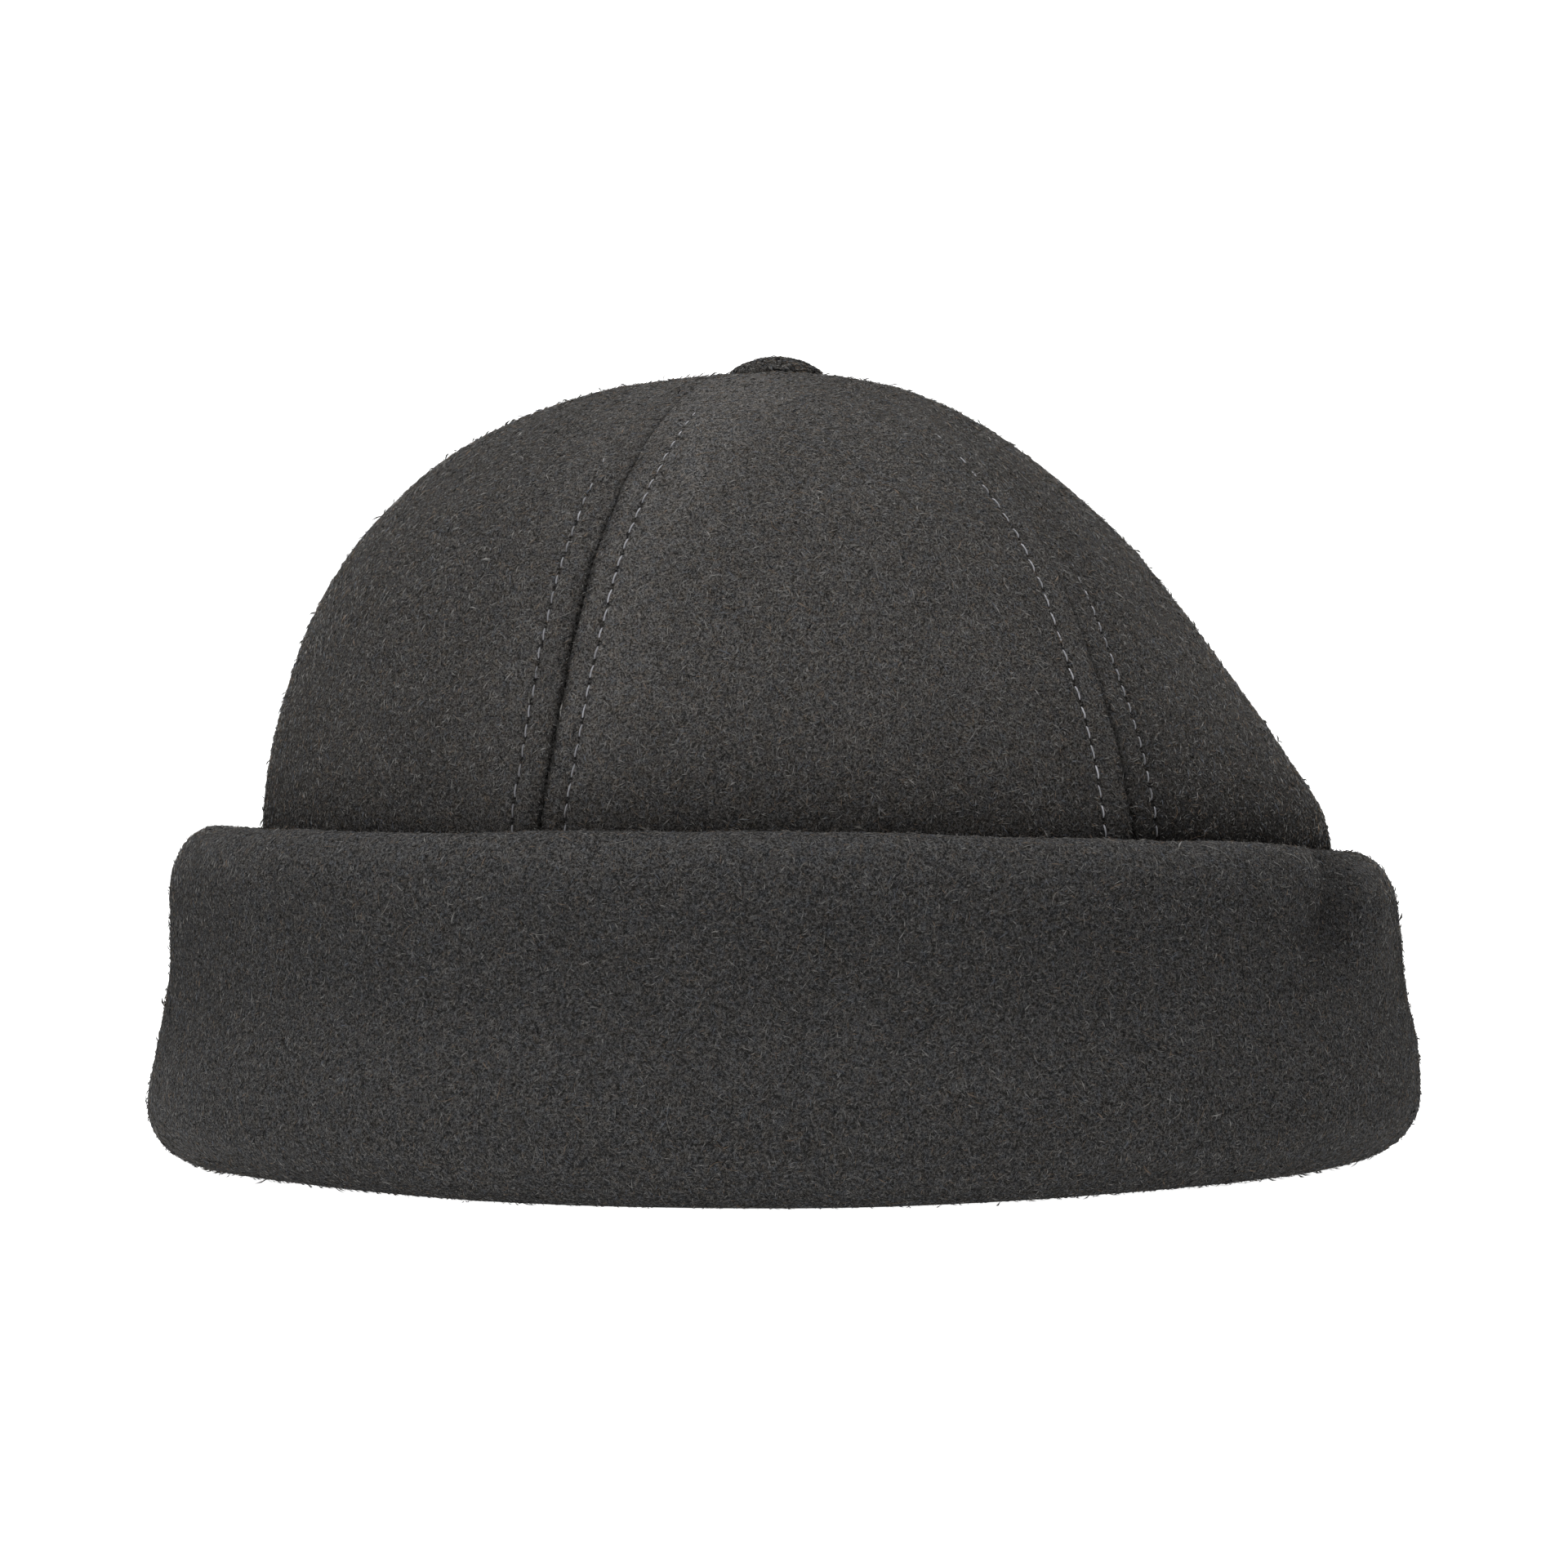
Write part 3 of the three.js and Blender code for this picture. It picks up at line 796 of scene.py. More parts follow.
def cuff_turn(point):
    """The turn from the back of points on the cuff's wall, in radians."""
    foot = CROWN_LEVELS[0]
    out = CUFF_FEATURES["waist_out"][1]
    return np.arctan2(point[..., 1] / (foot[2] + out), (point[..., 0] - AXIS_X) / (foot[3] + out))


def pressed_and_shaded(point):
    """Share from 0 to 1 of the painted shade in the dent's hollow, where the nap is also pressed flat."""
    return side_hump(cuff_turn(point), point[..., 2], PRESSED_AND_SHADED)


def cuff_painted_light(point):
    """Painted light and shade of the cuff: painted light over its fold and low on its wall, painted shade
    under the fold and in the dent, a painted highlight behind the dent, and painted light low at both ends of
    the cap, most at the front. Each is bell-shaped over the height and the turn, or over the height times a
    power of the turn's cosine."""
    turn, height = cuff_turn(point), point[..., 2]
    bands = sum(more * hump(height, at, spread) for at, spread, more in CUFF_PAINTED_SHADING)
    back = np.cos(turn)
    ends = (END_PAINTED_LIGHT - END_TILT * back) * back**END_POWER * hump(height, END_LEVEL, END_SPREAD)
    return 1 + bands + side_hump(turn, height, BEHIND_DENT_HIGHLIGHT) + ends - PRESSED_SHADE_DARK * pressed_and_shaded(point)


def fold_lift(angle, height):
    """How far the fold stands higher before the dent and lower behind it, in mm, fading out downwards."""
    lift = sum(high * bell(angle, at, spread) for high, at, spread in FOLD_LIFTS)
    return lift * np.clip((height - FOLD_LIFT_LEVEL) / FOLD_LIFT_RISE, 0, 1)


def cuff_relief(point, height):
    """Unevenness of the cuff's cloth, in mm, which fades out where the cap stands on it."""
    return uneven(point, CUFF_WAVES) * np.clip(height / STAND_HEIGHT, 0, 1)


def cuff_surface(angle):
    """The cuff's outer points and normals at each angle, as (angles, points, 3) in mm."""
    section = cuff_sections(angle, CUFF_FINE)
    normal = section_normals(section)
    point, out = cuff_shape(angle, section)
    turned = np.concatenate([out[:, None, :] * normal[..., :1], normal[..., 1:]], -1)
    return point + turned * cuff_relief(point, section[..., 1])[..., None], turned


def cuff_object(material):
    """The cuff as one closed ring of cloth, fine outside and coarser on its hidden inner face."""
    angle = np.linspace(0, 2 * np.pi, CUFF_STEPS, endpoint=False)
    outer, _ = cuff_surface(angle)
    section = cuff_sections(angle, CUFF_INSIDE)
    inner, _ = cuff_shape(angle, section - section_normals(section) * CLOTH)
    ring = np.concatenate([outer, inner[:, ::-1]], axis=1)
    faces = grid_faces(CUFF_STEPS, ring.shape[1], wrap_rows=True, wrap_columns=True, flip=True)
    cuff = mesh_object("cloth_turned_up_cuff", ring.reshape(-1, 3), faces, material)
    # Painted light and shade over the cuff's fold, wall, dent and ends, which the wool's colour is multiplied
    # by
    add_attribute(cuff.data, "tone_and_painted_light", cuff_painted_light(ring).ravel())
    return cuff


def button_points(turn, ring):
    """The button's dome: ring from 0 at its rim to 1 at its top, on a section whose radius and height, as
    shares of the whole, to the power BUTTON_CURVE add up to one, with soft pleats in the cloth at its
    rim."""
    lift = ring * np.pi / 2
    radius = (BUTTON_RADIUS - BUTTON_NAP) * np.cos(lift).clip(0) ** (2 / BUTTON_CURVE)
    height = BUTTON_RIM + (BUTTON_HEIGHT - BUTTON_RIM) * np.sin(lift) ** (2 / BUTTON_CURVE)
    pleat = sum(high * np.sin(turn * count + start) for high, count, start in PLEATS)
    radius = radius + pleat * hump(ring, 0, PLEAT_REACH)
    x = AXIS_X + radius * np.cos(turn)
    y = radius * np.sin(turn)
    return np.stack([x, y, CROWN_LEVELS[-1][0] + height + 0 * turn], -1)


def button_object(material):
    """The covered button with its shank and the small disc that holds it inside, as one closed body."""
    sides = BUTTON_SIDES
    turn = np.linspace(0, 2 * np.pi, sides, endpoint=False)
    dome = button_points(turn[None, :], np.linspace(0, BUTTON_LAST_RING, BUTTON_RINGS)[:, None])
    z0 = CROWN_LEVELS[-1][0]
    radius, height = np.array(BUTTON_UNDER).T[..., None]
    low = np.stack([AXIS_X + radius * np.cos(turn), radius * np.sin(turn), z0 + height + 0 * turn], -1)
    rings = np.concatenate([low, dome])
    ends = [[AXIS_X, 0, z0 + BUTTON_UNDER[0][1]], [AXIS_X, 0, z0 + BUTTON_HEIGHT]]
    verts = np.vstack([rings.reshape(-1, 3), ends])
    faces = grid_faces(len(rings), sides, wrap_columns=True)
    k = np.arange(sides)
    last = (len(rings) - 1) * sides
    bottom = np.stack([(k + 1) % sides, k, np.full(sides, len(verts) - 2)], -1)
    top = np.stack([last + k, last + (k + 1) % sides, np.full(sides, len(verts) - 1)], -1)
    button = mesh_object("cloth_top_button", verts, [faces, np.vstack([bottom, top])], material)
    more, at, spread = BUTTON_BASE_LIGHT
    add_attribute(button.data, "tone_and_painted_light", BUTTON_LAY + more * hump(verts[:, 2] - z0, at, spread))
    return button


def button_nap_roots(count, rng):
    """Roots and normals spread evenly over the button's dome, with a share of them along its rim."""
    turn = rng.uniform(0, 2 * np.pi, count)
    ring = np.arccos(rng.uniform(0, 1, count) ** (BUTTON_CURVE / 4)) / (np.pi / 2)
    at_rim = rng.uniform(0, 1, count) < BUTTON_RIM_SHARE
    ring = np.where(at_rim, rng.uniform(0, BUTTON_RIM_RING, count), ring).clip(0.002, 0.97)
    step = 0.001
    across = button_points(turn + step, ring) - button_points(turn - step, ring)
    up = button_points(turn, ring + step) - button_points(turn, ring - step)
    return button_points(turn, ring), unit(np.cross(across, up))


def stitch_rows(panel, look):
    """The stitches of one panel's two rows: points from end to end of each, the way out of the cloth there,
    and how light its thread is."""
    pitch, length = look.stitch_pitch / MM, look.stitch_length / MM
    total = float(panel.along(np.array(float(TOP_ROW))))
    rng = np.random.default_rng(hash_name(panel.node))
    centre = np.arange(0.5, int(total / pitch)) * pitch
    steps = np.linspace(0, TOP_ROW, STITCH_POINTS)
    run = panel.along(steps)
    share_along = np.array(STITCH_ALONG)
    rows = []
    for edge in (0, 1):
        half = length / 2 * rng.uniform(*STITCH_SHARES, len(centre))
        spots = centre[:, None] + half[:, None] * share_along
        t = np.interp(spots, run, steps)
        sewn = panel.sewing(edge + 0 * t, t)
        slant = rng.normal(0, SIDE_STRAY, len(centre))[:, None] + STITCH_SLANT * share_along
        share = (sewn["offset"] + slant) / panel.width(t)
        point, normal = panel.surface(share if edge == 0 else 1 - share, t)
        shown = sewn["row"][:, 3]
        keep = (shown > LEAST_ROW) & (centre > LOWEST_STITCH)
        drawn = np.abs(rng.normal(0, DOWN_STRAY, len(centre)))[:, None]
        rise = np.array(STITCH_RISE) - SUNK_ROW * (1 - sewn["row"]) - drawn
        light = sewn["light"][:, 3] * rng.uniform(*STITCH_LIGHTS, len(centre))
        light = light * (SUNK_LIGHT + (1 - SUNK_LIGHT) * shown)
        rows.append(((point + normal * rise[..., None])[keep], normal[keep], light[keep]))
    return [np.concatenate(column) for column in zip(*rows)]


def hash_name(name):
    """A number from a name, the same in every run."""
    return sum((i + 1) * ord(c) for i, c in enumerate(name))


def tubes(path, normal, radius, sides=6, twist=0.0):
    """Closed tubes along paths of (tubes, points, 3): a ring of sides round each point, and a flat cap at
    each end. With twist, in radians from point to point, the section is an oval that turns, as a plied
    thread's."""
    count, steps = path.shape[:2]
    way = unit(np.gradient(path, axis=1))
    side = unit(np.cross(way, normal))
    up = np.cross(side, way)
    turn = np.linspace(0, 2 * np.pi, sides, endpoint=False)
    ring = side[:, :, None] * np.cos(turn)[:, None] + up[:, :, None] * np.sin(turn)[:, None]
    oval = 1 - (THREAD_OVAL if twist else 0.0) * np.cos(2 * (turn - twist * np.arange(steps)[:, None]))
    verts = path[:, :, None] + ring * (radius[:, :, None] * oval)[..., None]
    one = grid_faces(steps, sides, wrap_columns=True, flip=True)
    k = np.arange(1, sides - 1)
    start = np.stack([0 * k, k, k + 1], -1)
    end = (steps - 1) * sides + start[:, ::-1]
    shift = (np.arange(count) * steps * sides)[:, None, None]
    caps = np.vstack([start, end]) + shift
    return verts.reshape(-1, 3), [(one + shift).reshape(-1, 4), caps.reshape(-1, 3)]


def fibres(root, normal, way, length, thick, lift, rng):
    """Fibres of the nap, each a closed sliver of four triangles: one end in the cloth, a crest of two
    points that bends a little to the side, and a far end that stands off the cloth by a share of the
    length."""
    n = len(root)
    side = np.cross(normal, way)
    half = way * length[:, None] / 2
    rise = lift * length
    crest = root + side * (rng.normal(0, FIBRE_BEND, n) * length)[:, None]
    crest = crest + normal * (rng.uniform(*FIBRE_CREST, n) * rise + CREST_LIFT * thick)[:, None]
    wide = side * thick[:, None] / 2
    near, far = root - half - normal * FIBRE_DEPTH, root + half + normal * rise[:, None]
    verts = np.stack([near, crest + wide, crest - wide, far], 1)
    one = np.array([[0, 2, 1], [3, 1, 2], [0, 1, 3], [0, 3, 2]])
    return verts.reshape(-1, 3), (one[None] + (np.arange(n) * 4)[:, None, None]).reshape(-1, 3)


def curls(root, normal, way, length, thick, rng):
    """Long loose fibres: thin tubes along arcs that lie on the cloth and lift a little in the middle."""
    n = len(root)
    side = np.cross(normal, way)
    s = np.linspace(-0.5, 0.5, len(CURL_SHAPE))[None, :, None]
    turn = rng.normal(0, CURL_TURN, n)[:, None, None]
    turn = np.where(np.abs(turn) < LEAST_TURN, LEAST_TURN, turn)
    long = length[:, None, None] / turn
    path = root[:, None] + way[:, None] * np.sin(turn * s) * long
    path = path + side[:, None] * (1 - np.cos(turn * s)) * long
    height = CURL_LEVEL + np.cos(np.pi * s) * rng.uniform(*CURL_RISE, n)[:, None, None]
    normals = np.broadcast_to(normal[:, None], path.shape)
    radius = thick[:, None] / 2 * np.array(CURL_SHAPE)
    return tubes(path + normals * height, normals, radius, 3)


def nap_ways(point, normal, rng):
    """Directions of the fibres in the cloth: mostly at random, with a drift that wanders over the cloth."""
    level = unit(np.cross(np.array([0.0, 0.0, 1.0]) + 0 * normal, normal))
    up = np.cross(normal, level)
    angle = uneven(point, LAY_WAVES) + rng.normal(0, NAP_SCATTER, len(point))
    return level * np.cos(angle)[:, None] + up * np.sin(angle)[:, None]


def crown_nap_roots(panels, count, rng):
    """Roots and normals spread evenly by area over the outer faces of the panels, above the cuff's fold."""
    t = rng.uniform(*NAP_ROWS, count * 3)
    across = rng.uniform(NAP_EDGE, 1 - NAP_EDGE, len(t))
    which = rng.integers(0, len(panels), len(t))
    points, normals, sizes = np.empty((len(t), 3)), np.empty((len(t), 3)), np.empty(len(t))
    for k, panel in enumerate(panels):
        mine = which == k
        points[mine], normals[mine] = panel.surface(across[mine], t[mine])
        rise = panel.along(t[mine] + 0.01) - panel.along(t[mine] - 0.01)
        sizes[mine] = panel.width(t[mine]) * rise
    keep = rng.uniform(0, 1, len(t)) < sizes / np.quantile(sizes, 0.995)
    return points[keep][:count], normals[keep][:count]


def seam_nap_roots(panels, count, rng):
    """Roots and normals of the fibres that lean over the seams' grooves: about a millimetre from a seam or
    less, evenly along it, fewer where the groove closes, and held up a little from the rolled edge."""
    each = count // len(panels)
    steps = np.linspace(*SEAM_ROWS, LENGTH_POINTS)
    points, normals = [], []
    for panel in panels:
        run = panel.along(steps)
        t = np.interp(rng.uniform(run[0], run[-1], each), run, steps)
        share = np.abs(rng.normal(0, SEAM_NAP_SPREAD, each)) / panel.width(t)
        across = np.where(rng.uniform(0, 1, each) < 0.5, share, 1 - share)
        keep = rng.uniform(0, 1, each) < panel.sewing(across, t)["groove"]
        point, normal = panel.surface(across[keep], t[keep])
        points.append(point + normal * rng.uniform(*SEAM_NAP_RISE, keep.sum())[:, None])
        normals.append(normal)
    return np.concatenate(points), np.concatenate(normals)


def cuff_nap_roots(count, rng):
    """Roots and normals spread evenly by area over the cuff's roll, outer wall and fold."""
    angle = np.linspace(0, 2 * np.pi, CUFF_NAP_STEPS)[:-1]
    grid, normal = cuff_surface(angle)
    # Each stretch of the section shares its first point with the one before. The first three are the hem, its
    # corner and the foot, and the last but one ends in the tuck
    first = sum(CUFF_FINE[:3]) - 2
    last = sum(CUFF_FINE[:8]) - 9
    grid, normal = grid[:, first:last], normal[:, first:last]
    after = np.roll(grid, -1, axis=0)
    cross = np.cross(after[:, :-1] - grid[:, :-1], grid[:, 1:] - grid[:, :-1])
    area = np.linalg.norm(cross, axis=-1)
    pick = rng.choice(area.size, count, p=area.ravel() / area.sum())
    i, j = np.unravel_index(pick, area.shape)
    u, v = rng.uniform(0, 1, count)[:, None], rng.uniform(0, 1, count)[:, None]
    i2 = (i + 1) % len(angle)
    low, high = (grid[i, k] * (1 - u) + grid[i2, k] * u for k in (j, j + 1))
    point = low * (1 - v) + high * v
    return point, unit(normal[i, j] * (1 - v) + normal[i, j + 1] * v)


class Nodes:
    """A short way to write a material's nodes. The values of inputs are numbers, tuples or other nodes'
    outputs."""

    def __init__(self, name):
        self.material = bpy.data.materials.new(name)
        self.material.use_nodes = True
        self.tree = self.material.node_tree
        self.tree.nodes.clear()
        self.shader = self.add("ShaderNodeBsdfPrincipled")
        self.add("ShaderNodeOutputMaterial", {"Surface": self.shader.outputs["BSDF"]})

    def feed(self, node, values):
        """Sets the node's inputs, or links them where the value is an output."""
        for key, value in values.items():
            if isinstance(value, bpy.types.NodeSocket):
                self.tree.links.new(value, node.inputs[key])
            else:
                node.inputs[key].default_value = value

    def add(self, kind, values=None, **settings):
        """A new node with these settings and inputs."""
        node = self.tree.nodes.new(kind)
        for key, value in settings.items():
            setattr(node, key, value)
        self.feed(node, values or {})
        return node

    def math(self, operation, *values):
        """The result of an operation on numbers."""
        return self.add("ShaderNodeMath", dict(enumerate(values)), operation=operation).outputs[0]

    def vector(self, operation, *values):
        """The result of an operation on vectors."""
        return self.add("ShaderNodeVectorMath", dict(enumerate(values)), operation=operation).outputs[0]

    def scale(self, vector, amount):
        """The vector times a number."""
        node = self.add("ShaderNodeVectorMath", {0: vector, "Scale": amount}, operation="SCALE")
        return node.outputs["Vector"]

    def turned(self, vector, turn):
        """The vector turned by three angles."""
        return self.add("ShaderNodeMapping", {"Vector": vector, "Rotation": turn}).outputs["Vector"]

    def noise(self, vector, scale, detail=1.0, roughness=0.5, fine=1.0):
        """A noise texture's outputs."""
        values = {"Vector": vector, "Scale": scale * fine, "Detail": detail, "Roughness": roughness}
        return self.add("ShaderNodeTexNoise", values).outputs

    def ramp(self, value, low, high, first, last, kind="LINEAR"):
        """The value, carried from the range low to high over to first to last."""
        ends = {"From Min": low, "From Max": high, "To Min": first, "To Max": last}
        node = self.add("ShaderNodeMapRange", {"Value": value, **ends}, interpolation_type=kind)
        return node.outputs["Result"]

    def attribute(self, name):
        """A number kept on the mesh's points."""
        return self.add("ShaderNodeAttribute", attribute_name=name).outputs["Fac"]


def wool_material(name, colour, fine=1.0, pitch=None):
    """Felted wool: a dark ground under three layers of fine curled lines, which are the edges between the
    cells of a bent cell pattern, each layer broken up by a noise. With a stitch's pitch, it darkens in the
    groove of the seams and where the needle went through."""
    n = Nodes(name)
    place = n.add("ShaderNodeTexCoord").outputs["Object"]
    bends = []
    for scale, amount in WOOL_BENDS:
        shift = n.vector("SUBTRACT", n.noise(place, scale, fine=fine)["Color"], (0.5, 0.5, 0.5))
        bends.append(n.vector("ADD", place, n.scale(shift, amount / fine)))
    total = 0.0
    for bend, turn, scale, width, bright in WOOL_LINES:
        values = {"Vector": n.turned(bends[bend], turn), "Scale": scale * fine}
        cells = n.add("ShaderNodeTexVoronoi", values, feature="DISTANCE_TO_EDGE")
        strand = n.ramp(cells.outputs["Distance"], LINE_EDGE, width, bright, 0.0, "SMOOTHSTEP")
        broken = n.noise(n.turned(place, turn), *BREAK_NOISE, fine=fine)["Fac"]
        layer = n.math("MULTIPLY", strand, n.ramp(broken, *BREAK_RANGE))
        total = n.math("MAXIMUM", total, layer)
    ground = n.noise(bends[0], *GROUND_NOISE, fine=fine)["Fac"]
    lines = n.math("MULTIPLY_ADD", total, LINE_STRENGTH, n.ramp(ground, *GROUND_RANGE))
    # The colour is multiplied by the painted light and shade kept on the mesh
    strength = n.math("MULTIPLY", lines, n.attribute("tone_and_painted_light"))
    if pitch:
        strength = n.math("MULTIPLY", strength, seam_shade(n, place, pitch))
    cool, warm = ((*(c * share for c, share in zip(colour, tint)), 1.0) for tint in (COOL_TINT, WARM_TINT))
    share = n.noise(bends[0], *TINT_NOISE)["Fac"]
    tint = n.add("ShaderNodeMix", {0: share, 6: cool, 7: warm}, data_type="RGBA").outputs[2]
    height = n.math("MULTIPLY_ADD", total, LINE_HEIGHT, ground)
    bump = n.add("ShaderNodeBump", {"Strength": 1.0, "Distance": BUMP_DISTANCE, "Height": height})
    n.feed(n.shader, {"Base Color": n.scale(tint, strength), "Normal": bump.outputs["Normal"]})
    n.feed(n.shader, {"Roughness": 0.95, "Specular IOR Level": 0.0})
    return n.material


def seam_shade(n, place, pitch):
    """How light the cloth is near a seam: dark in the groove, with a noise that lets lighter wool through,
    and at the needle holes, which stand at both ends of each stitch."""
    hold = n.ramp(n.noise(place, *HOLD_NOISE)["Fac"], *HOLD_RANGE)
    groove = n.ramp(n.math("MULTIPLY", n.attribute("groove"), hold), *GROOVE_RANGE)
    part = n.math("FRACT", n.math("DIVIDE", n.attribute("along_row"), pitch))
    from_middle = n.math("ABSOLUTE", n.math("SUBTRACT", part, 0.5))
    x = n.math("MULTIPLY", n.math("SUBTRACT", from_middle, NEEDLE_AT), pitch)
    where = n.add("ShaderNodeCombineXYZ", {"X": x, "Y": n.attribute("from_row")}).outputs["Vector"]
    away = n.add("ShaderNodeVectorMath", {0: where}, operation="LENGTH").outputs["Value"]
    hole = n.math("MULTIPLY", n.ramp(away, *HOLE_RANGE), n.attribute("row"))
    return n.math("MULTIPLY", groove, n.math("SUBTRACT", 1.0, hole))


def plain_material(name, colour, roughness, specular):
    """One colour, for fibres and threads that are too thin to show a pattern."""
    n = Nodes(name)
    values = {"Base Color": (*colour, 1.0), "Roughness": roughness, "Specular IOR Level": specular}
    n.feed(n.shader, values)
    return n.material


def settle(obj, slot, *nodes):
    """Says what the piece rides on and the CAD nodes that it stands for. The slot is not used."""
    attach(obj, "root")
    if nodes:
        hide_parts(*nodes)


def all_panels(look):
    """The six panels."""
    return [Panel(name, side, sign, look) for side, sign in SIDES for name in PANELS]


class CAP_OT_crown(bpy.types.Operator):
    """Builds the six crown panels"""

    bl_idname = "cap.crown"
    bl_label = "Crown panels"

    def execute(self, context):
        look = context.scene.cap_look
        wool = wool_material("crown_wool", tuple(look.wool), CROWN_FINE, look.stitch_pitch / MM)
        for panel in all_panels(look):
            settle(panel_object(panel, wool), "crown_wool", panel.node)
        return {"FINISHED"}


class CAP_OT_cuff(bpy.types.Operator):
    """Builds the turned-up cuff"""

    bl_idname = "cap.cuff"
    bl_label = "Turned-up cuff"

    def execute(self, context):
        look = context.scene.cap_look
        wool = wool_material("cuff_wool", tuple(look.cuff_wool), CUFF_FINENESS)
        settle(cuff_object(wool), "cuff_wool", "turned_up_cuff")
        return {"FINISHED"}


class CAP_OT_button(bpy.types.Operator):
    """Builds the covered button"""

    bl_idname = "cap.button"
    bl_label = "Top button"

    def execute(self, context):
        look = context.scene.cap_look
        wool = wool_material("button_wool", tuple(c * BUTTON_SHADE for c in look.wool))
        settle(button_object(wool), "crown_wool", "top_button")
        return {"FINISHED"}


class CAP_OT_stitches(bpy.types.Operator):
    """Sews a row of stitches beside each seam of each panel"""

    bl_idname = "cap.stitches"
    bl_label = "Stitches"

    def execute(self, context):
        look = context.scene.cap_look
        rows = [stitch_rows(panel, look) for panel in all_panels(look)]
        path, normal, light = (np.concatenate(column) for column in zip(*rows))
        thick = np.array(STITCH_THICK) * look.thread / MM / 2
        step = THREAD_LIGHTS[1] - THREAD_LIGHTS[0]
        shade = np.clip(np.rint((light - THREAD_LIGHTS[0]) / step), 0, len(THREAD_LIGHTS) - 1)
        for k, level in enumerate(THREAD_LIGHTS):
            mine = shade == k
            colour = tuple(c * level for c in look.thread_colour)
            thread = plain_material(f"thread_{k + 1}", colour, 0.5, 0.5)
            radius = np.broadcast_to(thick, (mine.sum(), len(thick)))
            verts, faces = tubes(path[mine], normal[mine], radius, twist=THREAD_TWIST)
            settle(mesh_object(f"topstitching_{k + 1}", verts, faces, thread), "crown_wool")
        return {"FINISHED"}


class CAP_OT_nap(bpy.types.Operator):
    """Spreads the wool's short fibres and loose curls over the cap"""

    bl_idname = "cap.nap"
    bl_label = "Nap"

    def spread(self, look, area, name, colour, shade, nap, rng):
        """Makes the fibres of one tint on one area from their roots, normals, lifts and share of
        thickness."""
        point, normal, lift, share = nap
        fibre = plain_material(f"nap_{area}_{name}", tuple(c * shade for c in colour), 0.9, 0.0)
        way = nap_ways(point, normal, rng)
        length = look.nap_length / MM * rng.lognormal(0, NAP_LENGTHS, len(point))
        thick = look.nap_thickness / MM * share * rng.uniform(*NAP_THICKS, len(point))
        verts, faces = fibres(point, normal, way, length, thick, lift, rng)
        settle(mesh_object(f"nap_{area}_{name}", verts, faces, fibre), f"{area}_wool")

    def execute(self, context):
        look = context.scene.cap_look
        rng = np.random.default_rng(NAP_SEED)
        panels = all_panels(look)
        p, n = seam_nap_roots(panels, SEAM_NAP_COUNT, rng)
        nap = (p, n, rng.uniform(*SEAM_LIFT, len(p)), 1.0)
        self.spread(look, "crown", "seams", SEAM_NAP, 1.0, nap, rng)
        crown = crown_nap_roots(panels, look.crown_fibres, rng)
        button = button_nap_roots(look.button_fibres, rng)
        dark_crown = np.repeat([0.0, BUTTON_DARK_FIBRES], [len(crown[0]), len(button[0])])
        crown = [np.concatenate(both) for both in zip(crown, button)]
        cuff = cuff_nap_roots(look.cuff_fibres, rng)
        for area, (point, normal), shade in (("crown", crown, 1.0), ("cuff", cuff, CUFF_NAP)):
            tint = rng.choice(len(NAP_TINTS), len(point), p=[t[2] for t in NAP_TINTS])
            # On the cuff, a share of the fibres in the dent's hollow turn dark: painted shade
            dark = dark_crown if area == "crown" else PRESSED_SHADE_FIBRES * pressed_and_shaded(point)
            tint = np.where(rng.uniform(0, 1, len(point)) < dark, len(NAP_TINTS) - 1, tint)
            for k, (name, colour, _) in enumerate(NAP_TINTS):
                p, n = point[tint == k], normal[tint == k]
                lift = np.abs(rng.normal(*NAP_LIFT, len(p)))
                self.spread(look, area, name, colour, shade, (p, n, lift, 1.0), rng)
        fuzz = (
            ("crown", crown_nap_roots(panels, look.crown_fuzz, rng), 1.0),
            ("cuff", cuff_nap_roots(look.cuff_fuzz, rng), CUFF_NAP),
        )
        for area, (p, n), shade in fuzz:
            nap = (p, n, rng.uniform(*FUZZ_LIFT, len(p)), FUZZ_THICK)
            self.spread(look, area, "fuzz", FUZZ, shade, nap, rng)
        for name, colour in CURL_TINTS:
            p1, n1 = crown_nap_roots(panels, look.curls // 2, rng)
            p2, n2 = cuff_nap_roots(look.curls // 2, rng)
            p, n = np.concatenate([p1, p2]), np.concatenate([n1, n2])
            length = rng.uniform(*CURL_LENGTHS, len(p))
            way = nap_ways(p, n, rng)
            verts, faces = curls(p, n, way, length, rng.uniform(*CURL_THICKS, len(p)), rng)
            hair = plain_material(f"curl_{name}", colour, 0.9, 0.0)
            settle(mesh_object(f"curls_{name}", verts, faces, hair), "crown_wool")
        return {"FINISHED"}


def stage_object():
    """A pale floor that bends up into a backdrop far behind the cap. It glows like a photographer's light
    table, so that the cap throws no shadow that shows."""
    turn = np.linspace(0, np.pi / 2, 16)
    y = np.concatenate([[FLOOR_NEAR], FLOOR_FAR + FLOOR_BEND * np.sin(turn), [FLOOR_FAR + FLOOR_BEND]])
    z = np.concatenate([[0.0], FLOOR_BEND * (1 - np.cos(turn)), [FLOOR_HIGH]])
    rows = [np.stack([np.full(len(y), x), y, z], -1) for x in (-FLOOR_HALF, FLOOR_HALF)]
    n = Nodes("floor")
    n.feed(n.shader, {"Base Color": (0.5, 0.5, 0.5, 1.0), "Roughness": 0.9, "Specular IOR Level": 0.0})
    n.feed(n.shader, {"Emission Color": (1.0, 1.0, 1.0, 1.0), "Emission Strength": 1.0})
    floor = mesh_object("floor", np.concatenate(rows), grid_faces(2, len(y), flip=True), n.material)


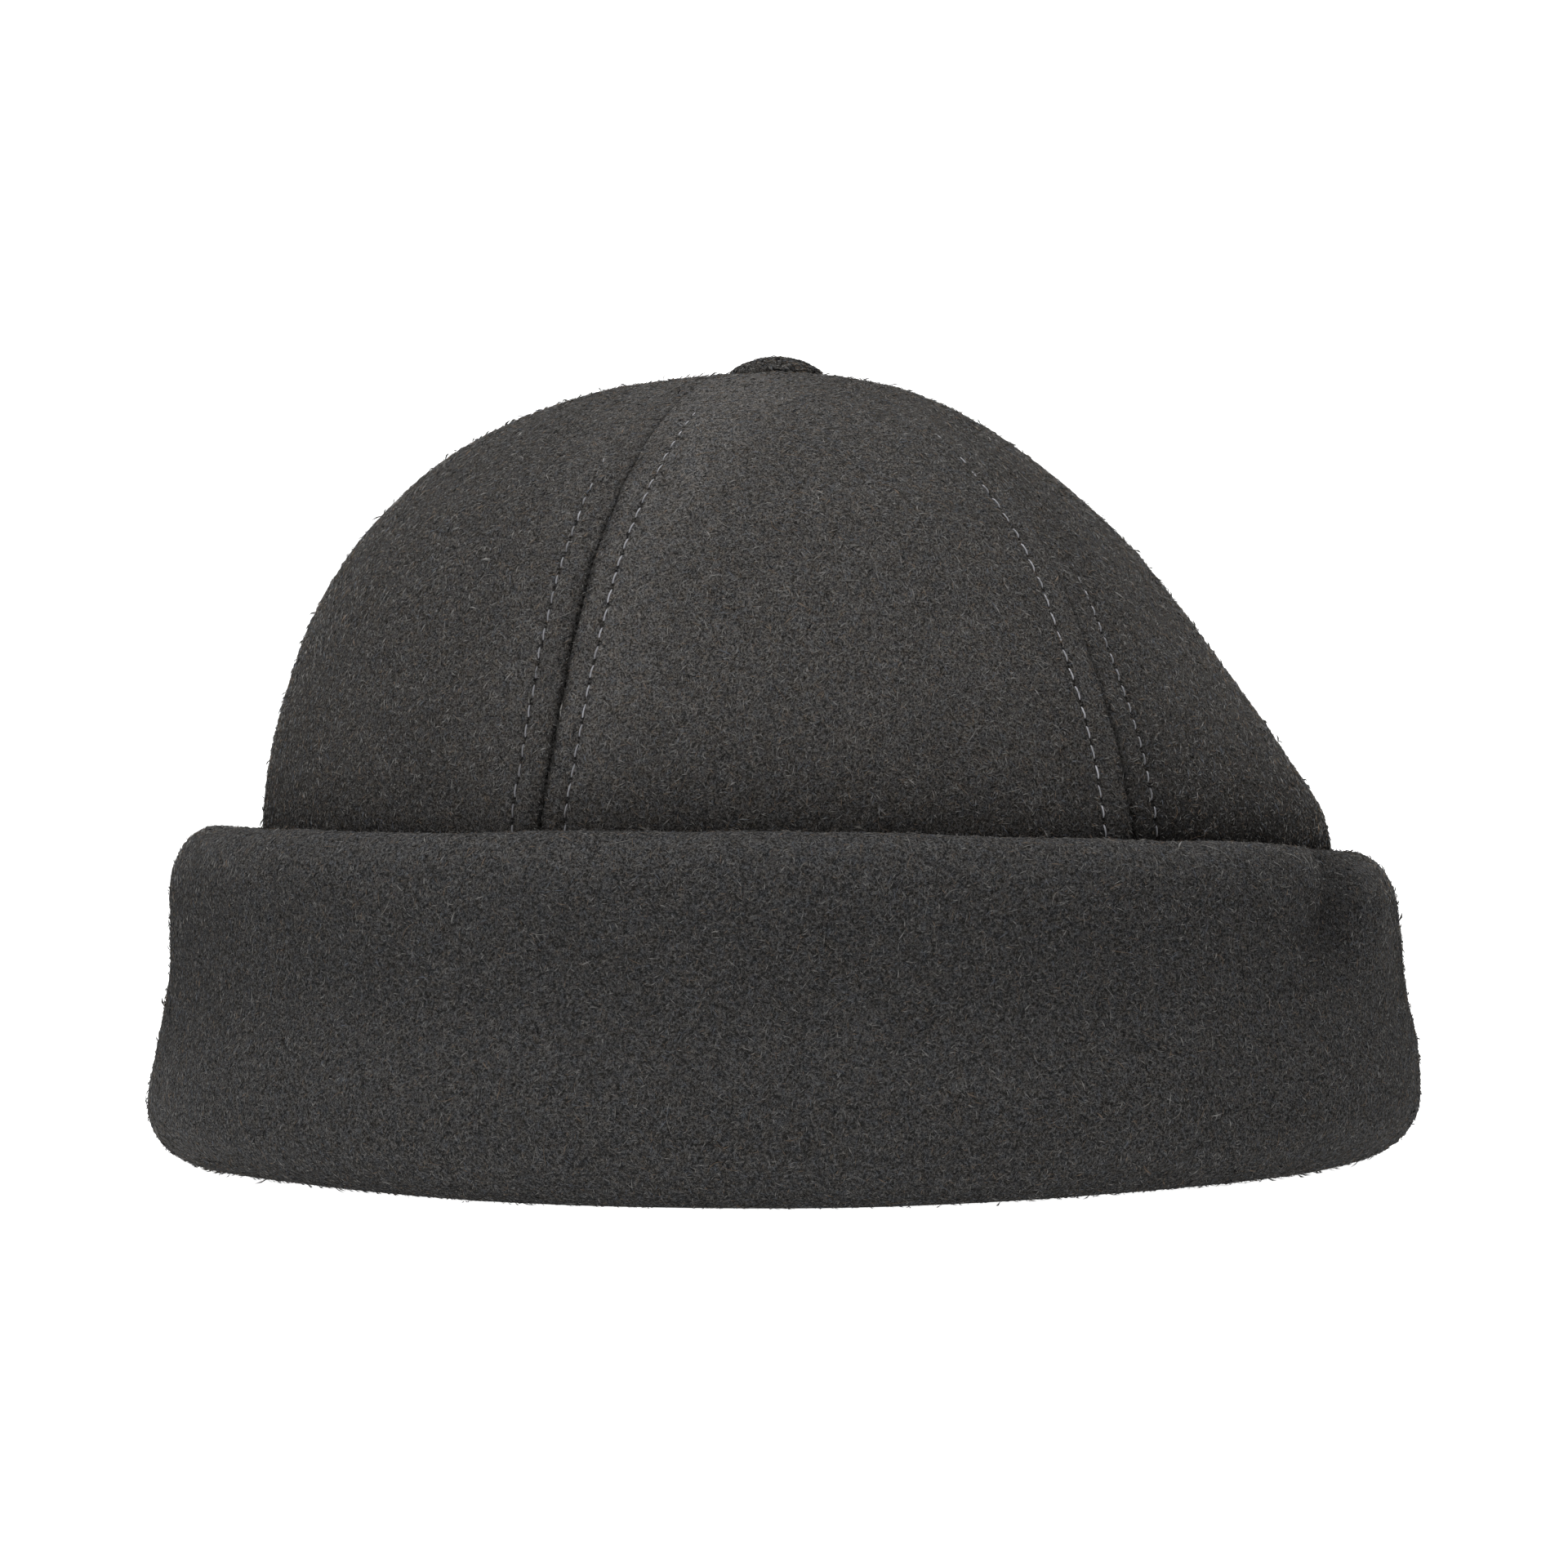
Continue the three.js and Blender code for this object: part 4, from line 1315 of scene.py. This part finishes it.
def area_light(name, place, aim, size, power):
    """A square soft white light at place, in metres, turned towards aim."""
    data = bpy.data.lights.new(name, "AREA")
    data.shape = "SQUARE"
    data.size = size
    data.energy = power
    light = bpy.data.objects.new(name, data)
    light.location = place
    light.rotation_mode = "QUATERNION"
    light.rotation_quaternion = (Vector(aim) - Vector(place)).to_track_quat("-Z", "Y")
    bpy.context.scene.collection.objects.link(light)


class CAP_OT_stage(bpy.types.Operator):
    """Sets the floor, the lights and the camera of the photograph"""

    bl_idname = "cap.stage"
    bl_label = "Stage"

    def execute(self, context):
        scene = context.scene
        stage_object()
        world = bpy.data.worlds.new("studio")
        world.use_nodes = True
        background = world.node_tree.nodes["Background"]
        background.inputs["Color"].default_value = (1.0, 1.0, 1.0, 1.0)
        background.inputs["Strength"].default_value = WORLD_LIGHT
        scene.world = world
        scene.view_settings.view_transform = "Standard"
        for light in LIGHTS:
            area_light(*light)
        data = bpy.data.cameras.new("camera")
        data.sensor_width = SENSOR
        data.lens = SENSOR * PHOTO_SCALE * CAMERA_DISTANCE / PHOTO_SIDE
        data.shift_y = (PHOTO_HORIZON - PHOTO_SIDE / 2) / PHOTO_SIDE
        camera = bpy.data.objects.new("camera", data)
        camera.location = (0.0, -CAMERA_DISTANCE * MM, CAMERA_HEIGHT * MM)
        camera.rotation_euler = (math.pi / 2, 0.0, 0.0)
        scene.collection.objects.link(camera)
        scene.camera = camera
        return {"FINISHED"}


OPERATORS = (CAP_OT_crown, CAP_OT_cuff, CAP_OT_button, CAP_OT_stitches, CAP_OT_nap, CAP_OT_stage)


class CAP_PT_panel(bpy.types.Panel):
    """Lists the cap's parts"""

    bl_idname = "CAP_PT_panel"
    bl_label = "Wool Cap"
    bl_space_type = "VIEW_3D"
    bl_region_type = "UI"
    bl_category = "Wool Cap"

    def draw(self, context):
        look = context.scene.cap_look
        for name in look.bl_rna.properties.keys():
            if name not in ("rna_type", "name"):
                self.layout.prop(look, name)
        for operator in OPERATORS:
            self.layout.operator(operator.bl_idname)


def register():
    for cls in (CapLook, *OPERATORS, CAP_PT_panel):
        bpy.utils.register_class(cls)
    bpy.types.Scene.cap_look = bpy.props.PointerProperty(type=CapLook)


def unregister():
    del bpy.types.Scene.cap_look
    for cls in reversed((CapLook, *OPERATORS, CAP_PT_panel)):
        bpy.utils.unregister_class(cls)


def main():
    """Builds the cap and the stage."""
    register()
    bpy.ops.cap.crown()
    bpy.ops.cap.cuff()
    bpy.ops.cap.button()
    bpy.ops.cap.stitches()
    bpy.ops.cap.nap()
    bpy.ops.cap.stage()


if __name__ == "__main__":
    main()
